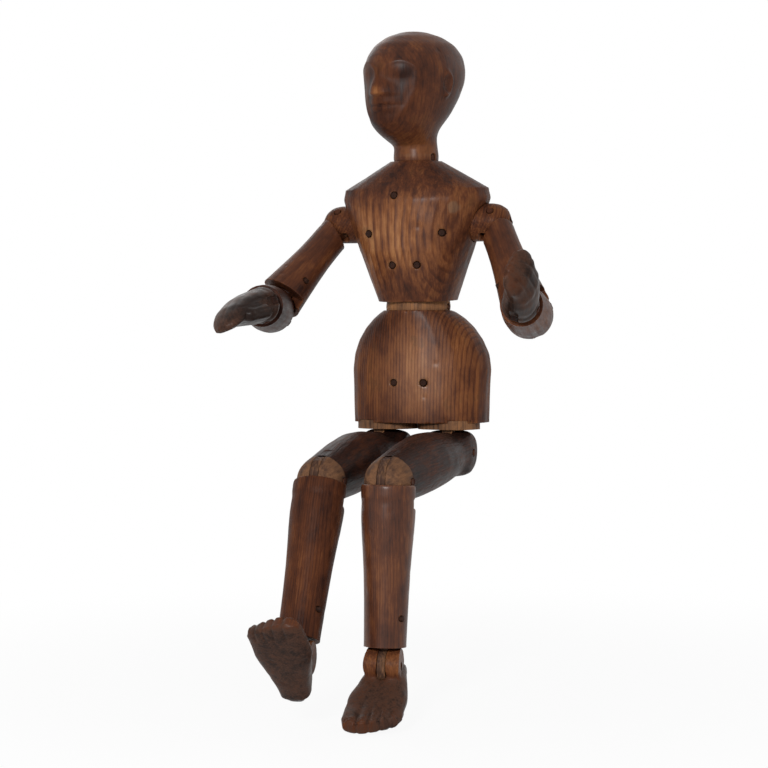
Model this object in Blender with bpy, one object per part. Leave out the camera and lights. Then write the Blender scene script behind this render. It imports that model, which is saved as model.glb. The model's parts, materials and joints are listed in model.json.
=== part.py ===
"""A jointed wooden lay figure, seated with its legs hanging, in metres.

The figure faces -Y, with +X on its left and +Z up. The origin is in the middle of the flat seat under the
pelvis. Heights of the trunk are measured up from that seat. Each limb is modelled hanging down from its own
joint, and the rest angles then turn it into the pose.
"""

from math import acos, atan2, cos, exp, pi, radians, sin, sqrt, tan

import bmesh
import bpy
from mathutils import Matrix, Vector

# Clearances between pieces
TURN_GAP = 0.0004
GLUE_GAP = 0.0003
DISC_RECESS = 0.0010
PEG_RECESS = 0.0010
NUB = 0.0008
OVERSHOOT = 0.0040

# Facets round a limb, a ball, a dowel and a pin, and rings along them
LIMB_SIDES = 24
BALL_SIDES = 20
DOWEL_SIDES = 14
PIN_SIDES = 10
CAP_RINGS = 4
DISC_STEPS = 12
HEAD_SIDES = 28
PELVIS_RINGS = 6
RINGS_PER_STATION = 2

# Pins through the tongues, and pegs that lock the dowels
PIN_RADIUS = 0.0025
PEG_RADIUS = 0.0025
SMALL_PEG_RADIUS = 0.0018
PEG_PAST_AXIS = 0.0050

# Pelvis
PELVIS_HEIGHT = 0.0840
PELVIS_SPRING = 0.0400
PELVIS_HALF_WIDTH = 0.0535
PELVIS_HALF_DEPTH = 0.0340
PELVIS_BOTTOM_HALF_WIDTH = 0.0515
PELVIS_BOTTOM_HALF_DEPTH = 0.0325
PELVIS_TOP_RADIUS = 0.0262
PELVIS_SQUARENESS = 2.6

# Hips: a dowel up into the pelvis and a tongue down into the thigh
HIP_Y = -0.0080
HIP_BALL = 0.0172
HIP_COLLAR = 0.0050
HIP_COLLAR_RADIUS = 0.0205
HIP_RECESS = 0.0020
HIP_TONGUE = 0.0080
HIP_DOWEL_RADIUS = 0.0155
HIP_DOWEL_LENGTH = 0.0360
HIP_PEG_INSET = 0.0060
HIP_PEG_HEIGHT = HIP_DOWEL_LENGTH - HIP_PEG_INSET
HIP_DROP = HIP_COLLAR + HIP_BALL + TURN_GAP

# Waist: a ball on a tongue that is glued into the pelvis, with a dowel up into the chest
WAIST_RISE = 0.0030
WAIST_HEIGHT = PELVIS_HEIGHT + WAIST_RISE
WAIST_Y = -0.0090
WAIST_BALL = 0.0245
WAIST_DISC = 0.0120
WAIST_TONGUE = 0.0090
WAIST_BEND = 15
WAIST_DOWEL_RADIUS = 0.0095
WAIST_DOWEL_LENGTH = 0.0260
WAIST_PEG_RISE = 0.0320
WAIST_PEG_HEIGHT = WAIST_HEIGHT + WAIST_PEG_RISE
WAIST_TENON_RADIUS = 0.0070
WAIST_TENON_LENGTH = 0.0220

# Chest
CHEST_RISE = 0.0045
CHEST_HEIGHT = 0.1045
CHEST_BOTTOM = WAIST_HEIGHT + CHEST_RISE
CHEST_TOP = CHEST_BOTTOM + CHEST_HEIGHT
CHEST_BOTTOM_HALF_WIDTH = 0.0288
CHEST_BOTTOM_HALF_DEPTH = 0.0275
CHEST_HALF_DEPTH = 0.0340
SHOULDER_SLOPE = 0.0208
SHOULDER_TOP = CHEST_TOP - SHOULDER_SLOPE
SHOULDER_CAP = 0.0075
SHOULDER_HALF_WIDTH = 0.0570
SHOULDER_TOP_HALF_WIDTH = 0.0555
SHOULDER_HALF_DEPTH = 0.0315
NECK_RIM_RADIUS = 0.0192
CHEST_SQUARENESS = 2.6

# Shoulders: a drum that turns in the chest, forked for the tongue of the arm
SHOULDER_DROP = 0.0258
SHOULDER_REACH = 0.0030
SHOULDER_HEIGHT = SHOULDER_TOP - SHOULDER_DROP
SHOULDER_X = SHOULDER_HALF_WIDTH + SHOULDER_REACH
SHOULDER_BALL = 0.0142
SHOULDER_DRUM_LENGTH = 0.0190
SHOULDER_DISC = 0.0105
SHOULDER_TONGUE = 0.0075
SHOULDER_TONGUE_HALF = 0.0070
SHOULDER_DOWEL_RADIUS = 0.0070
SHOULDER_DOWEL_LENGTH = 0.0250
SHOULDER_PEG_INSET = 0.0125
SHOULDER_PEG_X = SHOULDER_X - SHOULDER_DRUM_LENGTH - SHOULDER_PEG_INSET

# Upper arm
UPPER_ARM = 0.0950
UPPER_ARM_TOP_RADIUS = 0.0126
UPPER_ARM_MID_RADIUS = 0.0131
UPPER_ARM_END_RADIUS = 0.0178
ARM_INNER_DROP = 0.0165
ARM_OUTER_DROP = 0.0045

# Elbow and forearm
ELBOW_BALL = 0.0175
ELBOW_LIP = 0.0105
ELBOW_TONGUE = 0.0070
ELBOW_FRONT_REACH = 0.0020
ELBOW_FRONT_SLOPE = -12
ELBOW_DOWEL_RADIUS = 0.0065
ELBOW_DOWEL_LENGTH = 0.0260
ELBOW_PEG_RISE = 0.0300
FOREARM = 0.0780
FOREARM_MID_RADIUS = 0.0168
FOREARM_END_RADIUS = 0.0148

# Wrist and hand
WRIST_BALL = 0.0132
WRIST_LIP = 0.0085
WRIST_TONGUE = 0.0055
WRIST_DOWEL_RADIUS = 0.0055
WRIST_DOWEL_LENGTH = 0.0200
WRIST_PEG_RISE = 0.0230
HAND_LENGTH = 0.0570
PALM_HALF_WIDTH = 0.0150
PALM_HALF_DEPTH = 0.0120
FINGER_CURL = 0.0090
THUMB_LENGTH = 0.0250
THUMB_RADIUS = 0.0054

# Neck and head
NECK_RISE = 0.0025
NECK_HEIGHT = CHEST_TOP + NECK_RISE
NECK_BALL = 0.0172
NECK_RADIUS = 0.0162
NECK_DISC = 0.0100
NECK_TONGUE = 0.0070
NECK_NOD = 18
NECK_DOWEL_RADIUS = 0.0070
NECK_DOWEL_LENGTH = 0.0250
NECK_PEG_DROP = 0.0280
NECK_PEG_HEIGHT = NECK_HEIGHT - NECK_PEG_DROP
NECK_LENGTH = 0.0175
CHIN_HEIGHT = NECK_HEIGHT + NECK_LENGTH
HEAD_HEIGHT = 0.0765
HEAD_TOP = CHIN_HEIGHT + HEAD_HEIGHT
HEAD_HALF_WIDTH = 0.0345
HEAD_HALF_DEPTH = 0.0430
NOSE_RELIEF = 0.0032
EYE_RELIEF = 0.0016

# Thigh and knee
THIGH = 0.1380
THIGH_MID_RADIUS = 0.0216
THIGH_CLEARANCE = 0.0054
HIP_X = THIGH_MID_RADIUS + THIGH_CLEARANCE
THIGH_FRONT = 0.0025
KNEE_BALL = 0.0175
KNEE_TONGUE = 0.0060
KNEE_FRONT_LIP = 0.0025
KNEE_BACK_SLOPE = 15
KNEE_TENON_RADIUS = 0.0075
KNEE_TENON_LENGTH = 0.0260

# Shin
SHIN = 0.1264
SHIN_TOP_RADIUS = 0.0180
SHIN_CALF_RADIUS = 0.0188
SHIN_MID_RADIUS = 0.0163
SHIN_END_RADIUS = 0.0148

# Ankle and foot
ANKLE_BALL = 0.0125
ANKLE_HALF_WIDTH = 0.0104
ANKLE_TONGUE = 0.0055
ANKLE_DOWEL_RADIUS = 0.0060
ANKLE_DOWEL_LENGTH = 0.0300
ANKLE_PEG_RISE = 0.0330
SOLE_DROP = 0.0216
TOE_REACH = 0.0560
HEEL_REACH = 0.0230
FOOT_HALF_WIDTH = 0.0200
HEEL_HALF_WIDTH = 0.0118
TOE_THICKNESS = 0.0110

# Rest pose in degrees
WAIST_BEND_REST = 3
NECK_TURN_REST = -21
LEFT_REST = {
    "shoulder_swing": 39, "arm_spread": 25.5, "elbow_turn": -3.5, "elbow_bend": 58,
    "wrist_turn": 43, "wrist_bend": -21, "hip_turn": -1.5, "hip_swing": 84.8,
    "knee_bend": 80.8, "ankle_turn": 7, "ankle_bend": 25,
}
RIGHT_REST = {
    "shoulder_swing": 46, "arm_spread": 21, "elbow_turn": 35, "elbow_bend": 61,
    "wrist_turn": 33, "wrist_bend": 28, "hip_turn": 0.2, "hip_swing": 84.4,
    "knee_bend": 61.4, "ankle_turn": 1, "ankle_bend": -27,
}

# Finishes: colour and roughness
STAINED_PINE = ("stained_pine", (0.150, 0.058, 0.026), 0.45)
BARE_PINE = ("bare_pine", (0.300, 0.170, 0.090), 0.60)
DARK_CARVED = ("dark_carved_wood", (0.050, 0.022, 0.013), 0.38)
PEG_WOOD = ("peg_wood", (0.070, 0.032, 0.018), 0.50)


def clear_scene():
    for item in list(bpy.data.objects):
        bpy.data.objects.remove(item, do_unlink=True)


def material(finish):
    name, colour, roughness = finish
    made = bpy.data.materials.get(name) or bpy.data.materials.new(name)
    made.use_nodes = True
    shader = made.node_tree.nodes["Principled BSDF"]
    shader.inputs["Base Color"].default_value = (*colour, 1)
    shader.inputs["Roughness"].default_value = roughness
    shader.inputs["Metallic"].default_value = 0
    return made


def joint(name, parent, place, axis="Z", degrees=0):
    """An empty on a joint's axis, turned to the rest angle. What moves with the joint hangs from it."""
    empty = bpy.data.objects.new(name, None)
    bpy.context.collection.objects.link(empty)
    empty.parent = parent
    empty.empty_display_size = PIN_RADIUS
    empty.matrix_basis = Matrix.Translation(place) @ Matrix.Rotation(radians(degrees), 4, axis)
    return empty


def mesh_object(name, shape, parent):
    bmesh.ops.recalc_face_normals(shape, faces=shape.faces)
    mesh = bpy.data.meshes.new(name)
    shape.to_mesh(mesh)
    shape.free()
    made = bpy.data.objects.new(name, mesh)
    bpy.context.collection.objects.link(made)
    made.parent = parent
    return made


def solid(name, shape, parent, finish):
    """A named piece that hangs from a joint."""
    piece = mesh_object(name, shape, parent)
    piece.data.shade_smooth()
    piece.data.set_sharp_from_angle(angle=radians(35))
    piece.data.materials.append(material(finish))
    return piece


def combine(piece, operation, shapes):
    for shape in shapes:
        tool = mesh_object(piece.name + "_tool", shape, piece)
        tool.hide_render = True
        tool.display_type = "WIRE"
        change = piece.modifiers.new(operation.lower(), "BOOLEAN")
        change.operation = operation
        change.solver = "EXACT"
        change.object = tool


def cut(piece, *shapes):
    combine(piece, "DIFFERENCE", shapes)


def join(piece, *shapes):
    combine(piece, "UNION", shapes)


def skin(rings):
    """A closed surface through rings of points. A ring of one point closes an end to a tip."""
    shape = bmesh.new()
    rows = [[shape.verts.new(point) for point in ring] for ring in rings]
    for upper, lower in zip(rows, rows[1:]):
        count = max(len(upper), len(lower))
        for i in range(count):
            j = (i + 1) % count
            top = (upper[i % len(upper)], upper[j % len(upper)])
            corners = (*top, lower[j % len(lower)], lower[i % len(lower)])
            shape.faces.new(tuple(dict.fromkeys(corners)))
    for end in (rows[0], rows[-1]):
        if len(end) > 1:
            shape.faces.new(end)
    return shape


def rounded(value, squareness):
    """A cosine or sine flattened so that a ring of them nears a square as squareness grows from 2."""
    return abs(value) ** (2 / squareness) * (1 if value > 0 else -1)


def oval(centre, half_width, half_depth, squareness=2, sides=LIMB_SIDES):
    """A level ring of points."""
    ring = []
    for i in range(sides):
        angle = 2 * pi * (i + 0.5) / sides
        x = half_width * rounded(cos(angle), squareness)
        y = half_depth * rounded(sin(angle), squareness)
        ring.append(Vector(centre) + Vector((x, y, 0)))
    return ring


def eased(stations, steps=RINGS_PER_STATION):
    """More stations on a smooth curve through the given ones."""
    out = []
    for i in range(len(stations) - 1):
        before = stations[max(i - 1, 0)]
        after = stations[min(i + 2, len(stations) - 1)]
        for step in range(steps):
            t = step / steps
            row = zip(before, stations[i], stations[i + 1], after)
            out.append([b + t / 2 * (c - a + t * (2 * a - 5 * b + 4 * c - d + t * (3 * (b - c) + d - a)))
                        for a, b, c, d in row])
    return out + [list(stations[-1])]


def turned(profile, sides=LIMB_SIDES):
    """A turned shape from heights and radii. A radius of zero is a tip on the axis."""
    rings = []
    for height, radius in profile:
        middle = Vector((0, 0, height))
        rings.append(oval(middle, radius, radius, 2, sides) if radius else [middle])
    return skin(rings)


def dome(height, radius, side):
    """Heights and radii of half a ball from tip to widest ring. Side is 1 above the ring, -1 below."""
    steps = [0.5 * pi * i / CAP_RINGS for i in range(1, CAP_RINGS + 1)]
    return [(height + side * radius, 0)] + [(height + side * radius * cos(a), radius * sin(a)) for a in steps]


def placed(shape, centre, axis="Z"):
    """Lays a shape that was made round Z along X, Y or Z at a centre."""
    turns = {
        "X": Matrix.Rotation(pi / 2, 4, "Y"), "-X": Matrix.Rotation(-pi / 2, 4, "Y"),
        "Y": Matrix.Rotation(-pi / 2, 4, "X"), "Z": Matrix(),
    }
    bmesh.ops.transform(shape, matrix=Matrix.Translation(centre) @ turns[axis], verts=shape.verts)
    return shape


def rod(radius, start, end, sides=DOWEL_SIDES):
    """A plain dowel round Z between two heights."""
    return turned([(end, radius), (start, radius)], sides)


def bore(radius, start, end, sides=DOWEL_SIDES, gap=TURN_GAP):
    """The cutter for a hole round a dowel of this radius, with the hole's flats outside the dowel."""
    return rod((radius + gap) / cos(pi / sides), start, end, sides)


def ball(radius, centre):
    shape = bmesh.new()
    bmesh.ops.create_uvsphere(shape, u_segments=BALL_SIDES, v_segments=BALL_SIDES // 2, radius=radius)
    return placed(shape, centre)


def cup(radius, centre):
    """The cutter for a hollow that a ball of this radius turns in."""
    return ball((radius + TURN_GAP) / cos(pi / BALL_SIDES) ** 2, centre)


def plate(outline, thickness, across="X"):
    """A flat plate of an outline in the other two axes, thick along X or Y."""
    shape = bmesh.new()
    half = thickness / 2
    places = [[(x, u, v) if across == "X" else (u, x, v) for u, v in outline] for x in (-half, half)]
    near, far = [[shape.verts.new(place) for place in side] for side in places]
    shape.faces.new(near)
    shape.faces.new(far)
    for i in range(len(outline)):
        j = (i + 1) % len(outline)
        shape.faces.new((near[i], near[j], far[j], far[i]))
    return shape


def tongue(thickness, disc, neck, end, across="X"):
    """A round-ended tongue about a pin at the origin. Its neck runs along Z to end."""
    first = acos(neck / disc)
    sweep = pi + 2 * first
    angles = [first - sweep * i / DISC_STEPS for i in range(DISC_STEPS + 1)]
    up = 1 if end > 0 else -1
    outline = [(neck, end)] + [(disc * cos(a), up * disc * sin(a)) for a in angles] + [(-neck, end)]
    return plate(outline, thickness, across)


def slot(thickness, low, high, reach, across="X"):
    """The cutter for an open slot between two heights that a tongue of this thickness turns in."""
    outline = [(-reach, low), (reach, low), (reach, high), (-reach, high)]
    return plate(outline, thickness + 2 * TURN_GAP, across)


def hidden_slot(thickness, disc, neck, end, degrees):
    """The cutter for a slot that only lets a tongue swing by so many degrees to each side."""
    room = disc + TURN_GAP
    mouth = neck / cos(radians(degrees)) + abs(end) * tan(radians(degrees)) + TURN_GAP
    up = 1 if end > 0 else -1
    angles = [-pi * i / DISC_STEPS for i in range(DISC_STEPS + 1)]
    wall = room / cos(pi / 2 / DISC_STEPS)
    outline = [(mouth, end)] + [(wall * cos(a), up * wall * sin(a)) for a in angles] + [(-mouth, end)]
    return plate(outline, thickness + 2 * TURN_GAP)


def pin_hole(reach, centre=(0, 0, 0), axis="X", radius=PIN_RADIUS):
    return placed(bore(radius, -reach, reach, PIN_SIDES, GLUE_GAP), centre, axis)


def pin(name, parent, reach, axis="X", centre=(0, 0, 0)):
    """A hinge pin that ends a little under the surface on both sides."""
    return solid(name, placed(rod(PIN_RADIUS, -reach, reach, PIN_SIDES), centre, axis), parent, PEG_WOOD)


def peg(name, parent, radius, centre, head, tip, axis):
    """A locking peg along X or Y, from its head to its tip."""
    shape = rod(radius, min(head, tip), max(head, tip), PIN_SIDES)
    return solid(name, placed(shape, centre, axis), parent, PEG_WOOD)


def peg_hole(radius, centre, head, tip, axis):
    outward = 1 if head > tip else -1
    ends = (head + outward * OVERSHOOT, tip - outward * GLUE_GAP)
    return placed(bore(radius, min(ends), max(ends), PIN_SIDES, GLUE_GAP), centre, axis)


def grooved_dowel(radius, start, end, groove, peg_radius):
    """A dowel round Z with a groove at the height where its peg passes."""
    half = peg_radius + TURN_GAP
    core = radius - peg_radius - TURN_GAP
    return turned([(end, radius), (groove + half, radius), (groove + half, core),
                   (groove - half, core), (groove - half, radius), (start, radius)], DOWEL_SIDES)


def neck_of(dowel, thickness):
    """Half width of a tongue's neck that stays inside its dowel."""
    return sqrt((dowel * cos(pi / DOWEL_SIDES)) ** 2 - (thickness / 2) ** 2) - GLUE_GAP


def spigot(name, parent, thickness, disc, dowel, start, end, groove, peg_radius):
    """A tongue about the pin at the origin, in one piece with a grooved dowel that goes from start to end."""
    shape = grooved_dowel(dowel, min(start, end), max(start, end), groove, peg_radius)
    piece = solid(name, shape, parent, BARE_PINE)
    inside = OVERSHOOT if end > start else -OVERSHOOT
    join(piece, tongue(thickness, disc, neck_of(dowel, thickness), start + inside))
    cut(piece, pin_hole(thickness))
    return piece


def tenon(name, parent, thickness, disc, dowel, start, end):
    """A tongue about the pin at the origin, in one piece with a plain dowel that is glued in."""
    piece = solid(name, rod(dowel, min(start, end), max(start, end)), parent, BARE_PINE)
    inside = OVERSHOOT if end > start else -OVERSHOOT
    join(piece, tongue(thickness, disc, neck_of(dowel, thickness), start + inside))
    cut(piece, pin_hole(thickness))
    return piece


def level_of(stations, height):
    """Half width and half depth of a lofted trunk at a height."""
    for (low, *first), (high, *second) in zip(stations, stations[1:]):
        if low <= height <= high:
            t = (height - low) / (high - low)
            return [a + t * (b - a) for a, b in zip(first, second)]
    raise ValueError("height is outside the stations")


def front_of(stations, squareness, x, height):
    """How far forward a lofted trunk reaches, as a negative y."""
    half_width, half_depth = level_of(stations, height)
    return -half_depth * (1 - (abs(x) / half_width) ** squareness) ** (1 / squareness)


def trunk_rings(stations, squareness_low, squareness_high):
    """Level rings through a trunk's stations, from squarer to rounder."""
    bottom = stations[0][0]
    height = stations[-1][0] - bottom
    rings = []
    for z, half_width, half_depth in stations:
        t = (z - bottom) / height
        squareness = squareness_low + t * (squareness_high - squareness_low)
        rings.append(oval((0, 0, z), half_width, half_depth, squareness))
    return rings


def pelvis_stations():
    """A block with upright sides that closes to a dome under the waist."""
    rise = PELVIS_HEIGHT - PELVIS_SPRING
    across = rise / sqrt(1 - (PELVIS_TOP_RADIUS / PELVIS_HALF_WIDTH) ** 2)
    along = rise / sqrt(1 - (PELVIS_TOP_RADIUS / PELVIS_HALF_DEPTH) ** 2)
    stations = [(0, PELVIS_BOTTOM_HALF_WIDTH, PELVIS_BOTTOM_HALF_DEPTH)]
    for i in range(PELVIS_RINGS + 1):
        up = rise * sin(pi / 2 * i / PELVIS_RINGS)
        half_width = PELVIS_HALF_WIDTH * sqrt(1 - (up / across) ** 2)
        half_depth = PELVIS_HALF_DEPTH * sqrt(1 - (up / along) ** 2)
        stations.append((PELVIS_SPRING + up, half_width, half_depth))
    return stations


def chest_stations():
    """Sides that flare up to the shoulder caps, and shoulders that slope up to the neck."""
    cap = SHOULDER_TOP - SHOULDER_CAP
    middle = (CHEST_BOTTOM + cap) / 2
    flare = [
        (CHEST_BOTTOM, CHEST_BOTTOM_HALF_WIDTH, CHEST_BOTTOM_HALF_DEPTH),
        (middle, (CHEST_BOTTOM_HALF_WIDTH + SHOULDER_HALF_WIDTH) / 2, CHEST_HALF_DEPTH),
        (cap, SHOULDER_HALF_WIDTH, CHEST_HALF_DEPTH),
    ]
    slope = [
        (SHOULDER_TOP, SHOULDER_TOP_HALF_WIDTH, SHOULDER_HALF_DEPTH),
        (CHEST_TOP, NECK_RIM_RADIUS, NECK_RIM_RADIUS),
    ]
    return [tuple(row) for row in eased(flare)] + slope


def make_pelvis(frame):
    stations = pelvis_stations()
    rings = trunk_rings(stations, PELVIS_SQUARENESS, 2)
    for ring in rings:
        up = max(0, ring[0].z - PELVIS_SPRING) / (PELVIS_HEIGHT - PELVIS_SPRING)
        for point in ring:
            point.y += up ** 2 * WAIST_Y
    pelvis = solid("pelvis", skin(rings), frame, STAINED_PINE)
    tenon_end = -WAIST_BALL - TURN_GAP - WAIST_TENON_LENGTH
    waist = (0, WAIST_Y, WAIST_HEIGHT)
    cut(pelvis, cup(WAIST_BALL, waist),
        placed(bore(WAIST_TENON_RADIUS, tenon_end - GLUE_GAP, 0, gap=GLUE_GAP), waist))
    for name, s in (("left", 1), ("right", -1)):
        centre = (s * HIP_X, HIP_Y, 0)
        cut(pelvis, placed(bore(HIP_DOWEL_RADIUS, -OVERSHOOT, HIP_DOWEL_LENGTH + TURN_GAP), centre),
            placed(bore(HIP_COLLAR_RADIUS, -OVERSHOOT, HIP_RECESS, LIMB_SIDES), centre))
        x = s * (HIP_X - HIP_DOWEL_RADIUS)
        head = front_of(stations, PELVIS_SQUARENESS, x, HIP_PEG_HEIGHT) + PEG_RECESS
        run = (PEG_RADIUS, (x, 0, HIP_PEG_HEIGHT), head, HIP_Y + PEG_PAST_AXIS, "Y")
        cut(pelvis, peg_hole(*run))
        peg("hip_peg_" + name, frame, *run)
    pivot = joint("waist_tongue_frame", frame, waist)
    tenon("waist_tongue", pivot, WAIST_TONGUE, WAIST_DISC, WAIST_TENON_RADIUS,
          -WAIST_BALL - TURN_GAP, tenon_end)


def make_waist(frame):
    """The ball at the waist, about its own centre."""
    waist = solid("waist_ball", ball(WAIST_BALL, (0, 0, 0)), frame, BARE_PINE)
    top = WAIST_BALL + WAIST_DOWEL_LENGTH
    groove = WAIST_PEG_HEIGHT - WAIST_HEIGHT
    join(waist, grooved_dowel(WAIST_DOWEL_RADIUS, WAIST_DISC + OVERSHOOT, top, groove, PEG_RADIUS))
    neck = neck_of(WAIST_TENON_RADIUS, WAIST_TONGUE)
    cut(waist, hidden_slot(WAIST_TONGUE, WAIST_DISC, neck, -WAIST_BALL - OVERSHOOT, WAIST_BEND),
        pin_hole(WAIST_BALL + OVERSHOOT))
    pin("waist_pin", frame, WAIST_BALL - PEG_RECESS)


def make_chest(frame):
    """The chest, in a frame level with the seat, with the pegs that lock the dowels of its neighbours."""
    stations = chest_stations()
    chest = solid("chest", skin(trunk_rings(stations, CHEST_SQUARENESS, 2)), frame, STAINED_PINE)
    neck_start = NECK_HEIGHT - NECK_BALL - TURN_GAP
    cut(chest, cup(WAIST_BALL, (0, 0, WAIST_HEIGHT)), cup(NECK_BALL, (0, 0, NECK_HEIGHT)),
        bore(WAIST_DOWEL_RADIUS, WAIST_HEIGHT, WAIST_HEIGHT + WAIST_BALL + WAIST_DOWEL_LENGTH + TURN_GAP),
        bore(NECK_DOWEL_RADIUS, neck_start - NECK_DOWEL_LENGTH - TURN_GAP, NECK_HEIGHT))
    runs = {
        "waist_peg_left": (WAIST_DOWEL_RADIUS, WAIST_PEG_HEIGHT),
        "waist_peg_right": (-WAIST_DOWEL_RADIUS, WAIST_PEG_HEIGHT),
        "neck_peg": (-NECK_DOWEL_RADIUS, NECK_PEG_HEIGHT),
    }
    for name, s in (("left", 1), ("right", -1)):
        inner = SHOULDER_X - SHOULDER_DRUM_LENGTH - TURN_GAP
        end = inner - SHOULDER_DOWEL_LENGTH
        outside = SHOULDER_X + SHOULDER_BALL
        centre = (0, 0, SHOULDER_HEIGHT)
        axis = "X" if s > 0 else "-X"
        cut(chest, placed(bore(SHOULDER_BALL, inner, outside, LIMB_SIDES), centre, axis),
            placed(bore(SHOULDER_DOWEL_RADIUS, end, outside), centre, axis))
        runs["shoulder_peg_" + name] = (s * SHOULDER_PEG_X, SHOULDER_HEIGHT - SHOULDER_DOWEL_RADIUS)
    for name, (x, height) in runs.items():
        run = (PEG_RADIUS, (x, 0, height), front_of(stations, CHEST_SQUARENESS, x, height) + PEG_RECESS,
               PEG_PAST_AXIS, "Y")
        cut(chest, peg_hole(*run))
        peg(name, frame, *run)


def make_neck(frame):
    start = -NECK_BALL - TURN_GAP
    spigot("neck_spigot", frame, NECK_TONGUE, NECK_DISC, NECK_DOWEL_RADIUS,
           start, start - NECK_DOWEL_LENGTH, NECK_PEG_HEIGHT - NECK_HEIGHT, PEG_RADIUS)


def bump(value, centre, spread):
    return exp(-((value - centre) / spread) ** 2)


def head_ring(share, width, depth, shift):
    """A ring of the head, from chin at 0 to crown at 1, with the nose raised and the eyes sunk."""
    height = CHIN_HEIGHT + share * (HEAD_TOP - CHIN_HEIGHT) - NECK_HEIGHT
    centre = Vector((0, shift * HEAD_HALF_DEPTH, height))
    ring = []
    for point in oval(centre, width * HEAD_HALF_WIDTH, depth * HEAD_HALF_DEPTH, 2, HEAD_SIDES):
        arm = point - centre
        angle = atan2(arm.x, -arm.y)
        nose = NOSE_RELIEF * bump(angle, 0, 0.17) * bump(share, 0.34, 0.13)
        eyes = EYE_RELIEF * bump(abs(angle), 0.42, 0.20) * bump(share, 0.50, 0.07)
        ring.append(point + (nose - eyes) * arm.normalized())
    return ring


def make_head(frame):
    """Neck and head in one piece, about the nodding pin in the neck."""
    shape = (
        (0.00, 0.58, 0.58, -0.22), (0.08, 0.69, 0.70, -0.23), (0.19, 0.81, 0.80, -0.16),
        (0.34, 0.92, 0.90, -0.07), (0.50, 0.99, 0.98, 0.00), (0.62, 1.00, 1.00, 0.01),
        (0.75, 0.94, 0.95, 0.02), (0.86, 0.78, 0.80, 0.02), (0.94, 0.54, 0.56, 0.01),
        (0.99, 0.24, 0.25, 0.00),
    )
    rows = dome(0, NECK_BALL, -1)
    rings = [oval((0, 0, z), r, r, 2, HEAD_SIDES) if r else [Vector((0, 0, z))] for z, r in rows]
    throat = (CHIN_HEIGHT - NECK_HEIGHT) / 2
    rings.append(oval((0, 0, throat), NECK_RADIUS, NECK_RADIUS, 2, HEAD_SIDES))
    rings += [head_ring(*row) for row in shape]
    rings.append([Vector((0, 0, HEAD_TOP - NECK_HEIGHT))])
    head = solid("head", skin(rings), frame, STAINED_PINE)
    neck = neck_of(NECK_DOWEL_RADIUS, NECK_TONGUE)
    cut(head, hidden_slot(NECK_TONGUE, NECK_DISC, neck, -NECK_BALL - OVERSHOOT, NECK_NOD),
        pin_hole(NECK_BALL + OVERSHOOT))
    pin("neck_pin", frame, NECK_RADIUS - PEG_RECESS)


def make_shoulder(name, frame, s):
    """A drum about the arm's pin, with its dowel running in towards the chest."""
    inner = -SHOULDER_DRUM_LENGTH
    groove = SHOULDER_PEG_X - SHOULDER_X
    half = PEG_RADIUS + TURN_GAP
    core = SHOULDER_DOWEL_RADIUS - half
    profile = dome(0, SHOULDER_BALL, 1) + [
        (inner, SHOULDER_BALL), (inner, SHOULDER_DOWEL_RADIUS), (groove + half, SHOULDER_DOWEL_RADIUS),
        (groove + half, core), (groove - half, core), (groove - half, SHOULDER_DOWEL_RADIUS),
        (inner - SHOULDER_DOWEL_LENGTH, SHOULDER_DOWEL_RADIUS),
    ]
    shape = placed(turned(profile), (0, 0, 0), "X" if s > 0 else "-X")
    drum = solid("shoulder_drum_" + name, shape, frame, BARE_PINE)
    back = -s * (SHOULDER_DISC + TURN_GAP)
    front = s * (SHOULDER_BALL + OVERSHOOT)
    tall = SHOULDER_BALL + OVERSHOOT
    opening = [(back, -tall), (front, -tall), (front, tall), (back, tall)]
    cut(drum, plate(opening, SHOULDER_TONGUE + 2 * TURN_GAP, "Y"), pin_hole(tall, axis="Y"))
    pin("shoulder_pin_" + name, frame, SHOULDER_BALL - PEG_RECESS, "Y")


def side_of(stations, height, y):
    """How far a round limb reaches sideways at a height, away from its middle plane by y."""
    (radius,) = level_of(sorted(stations), height)
    return sqrt(radius ** 2 - y ** 2)


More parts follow.
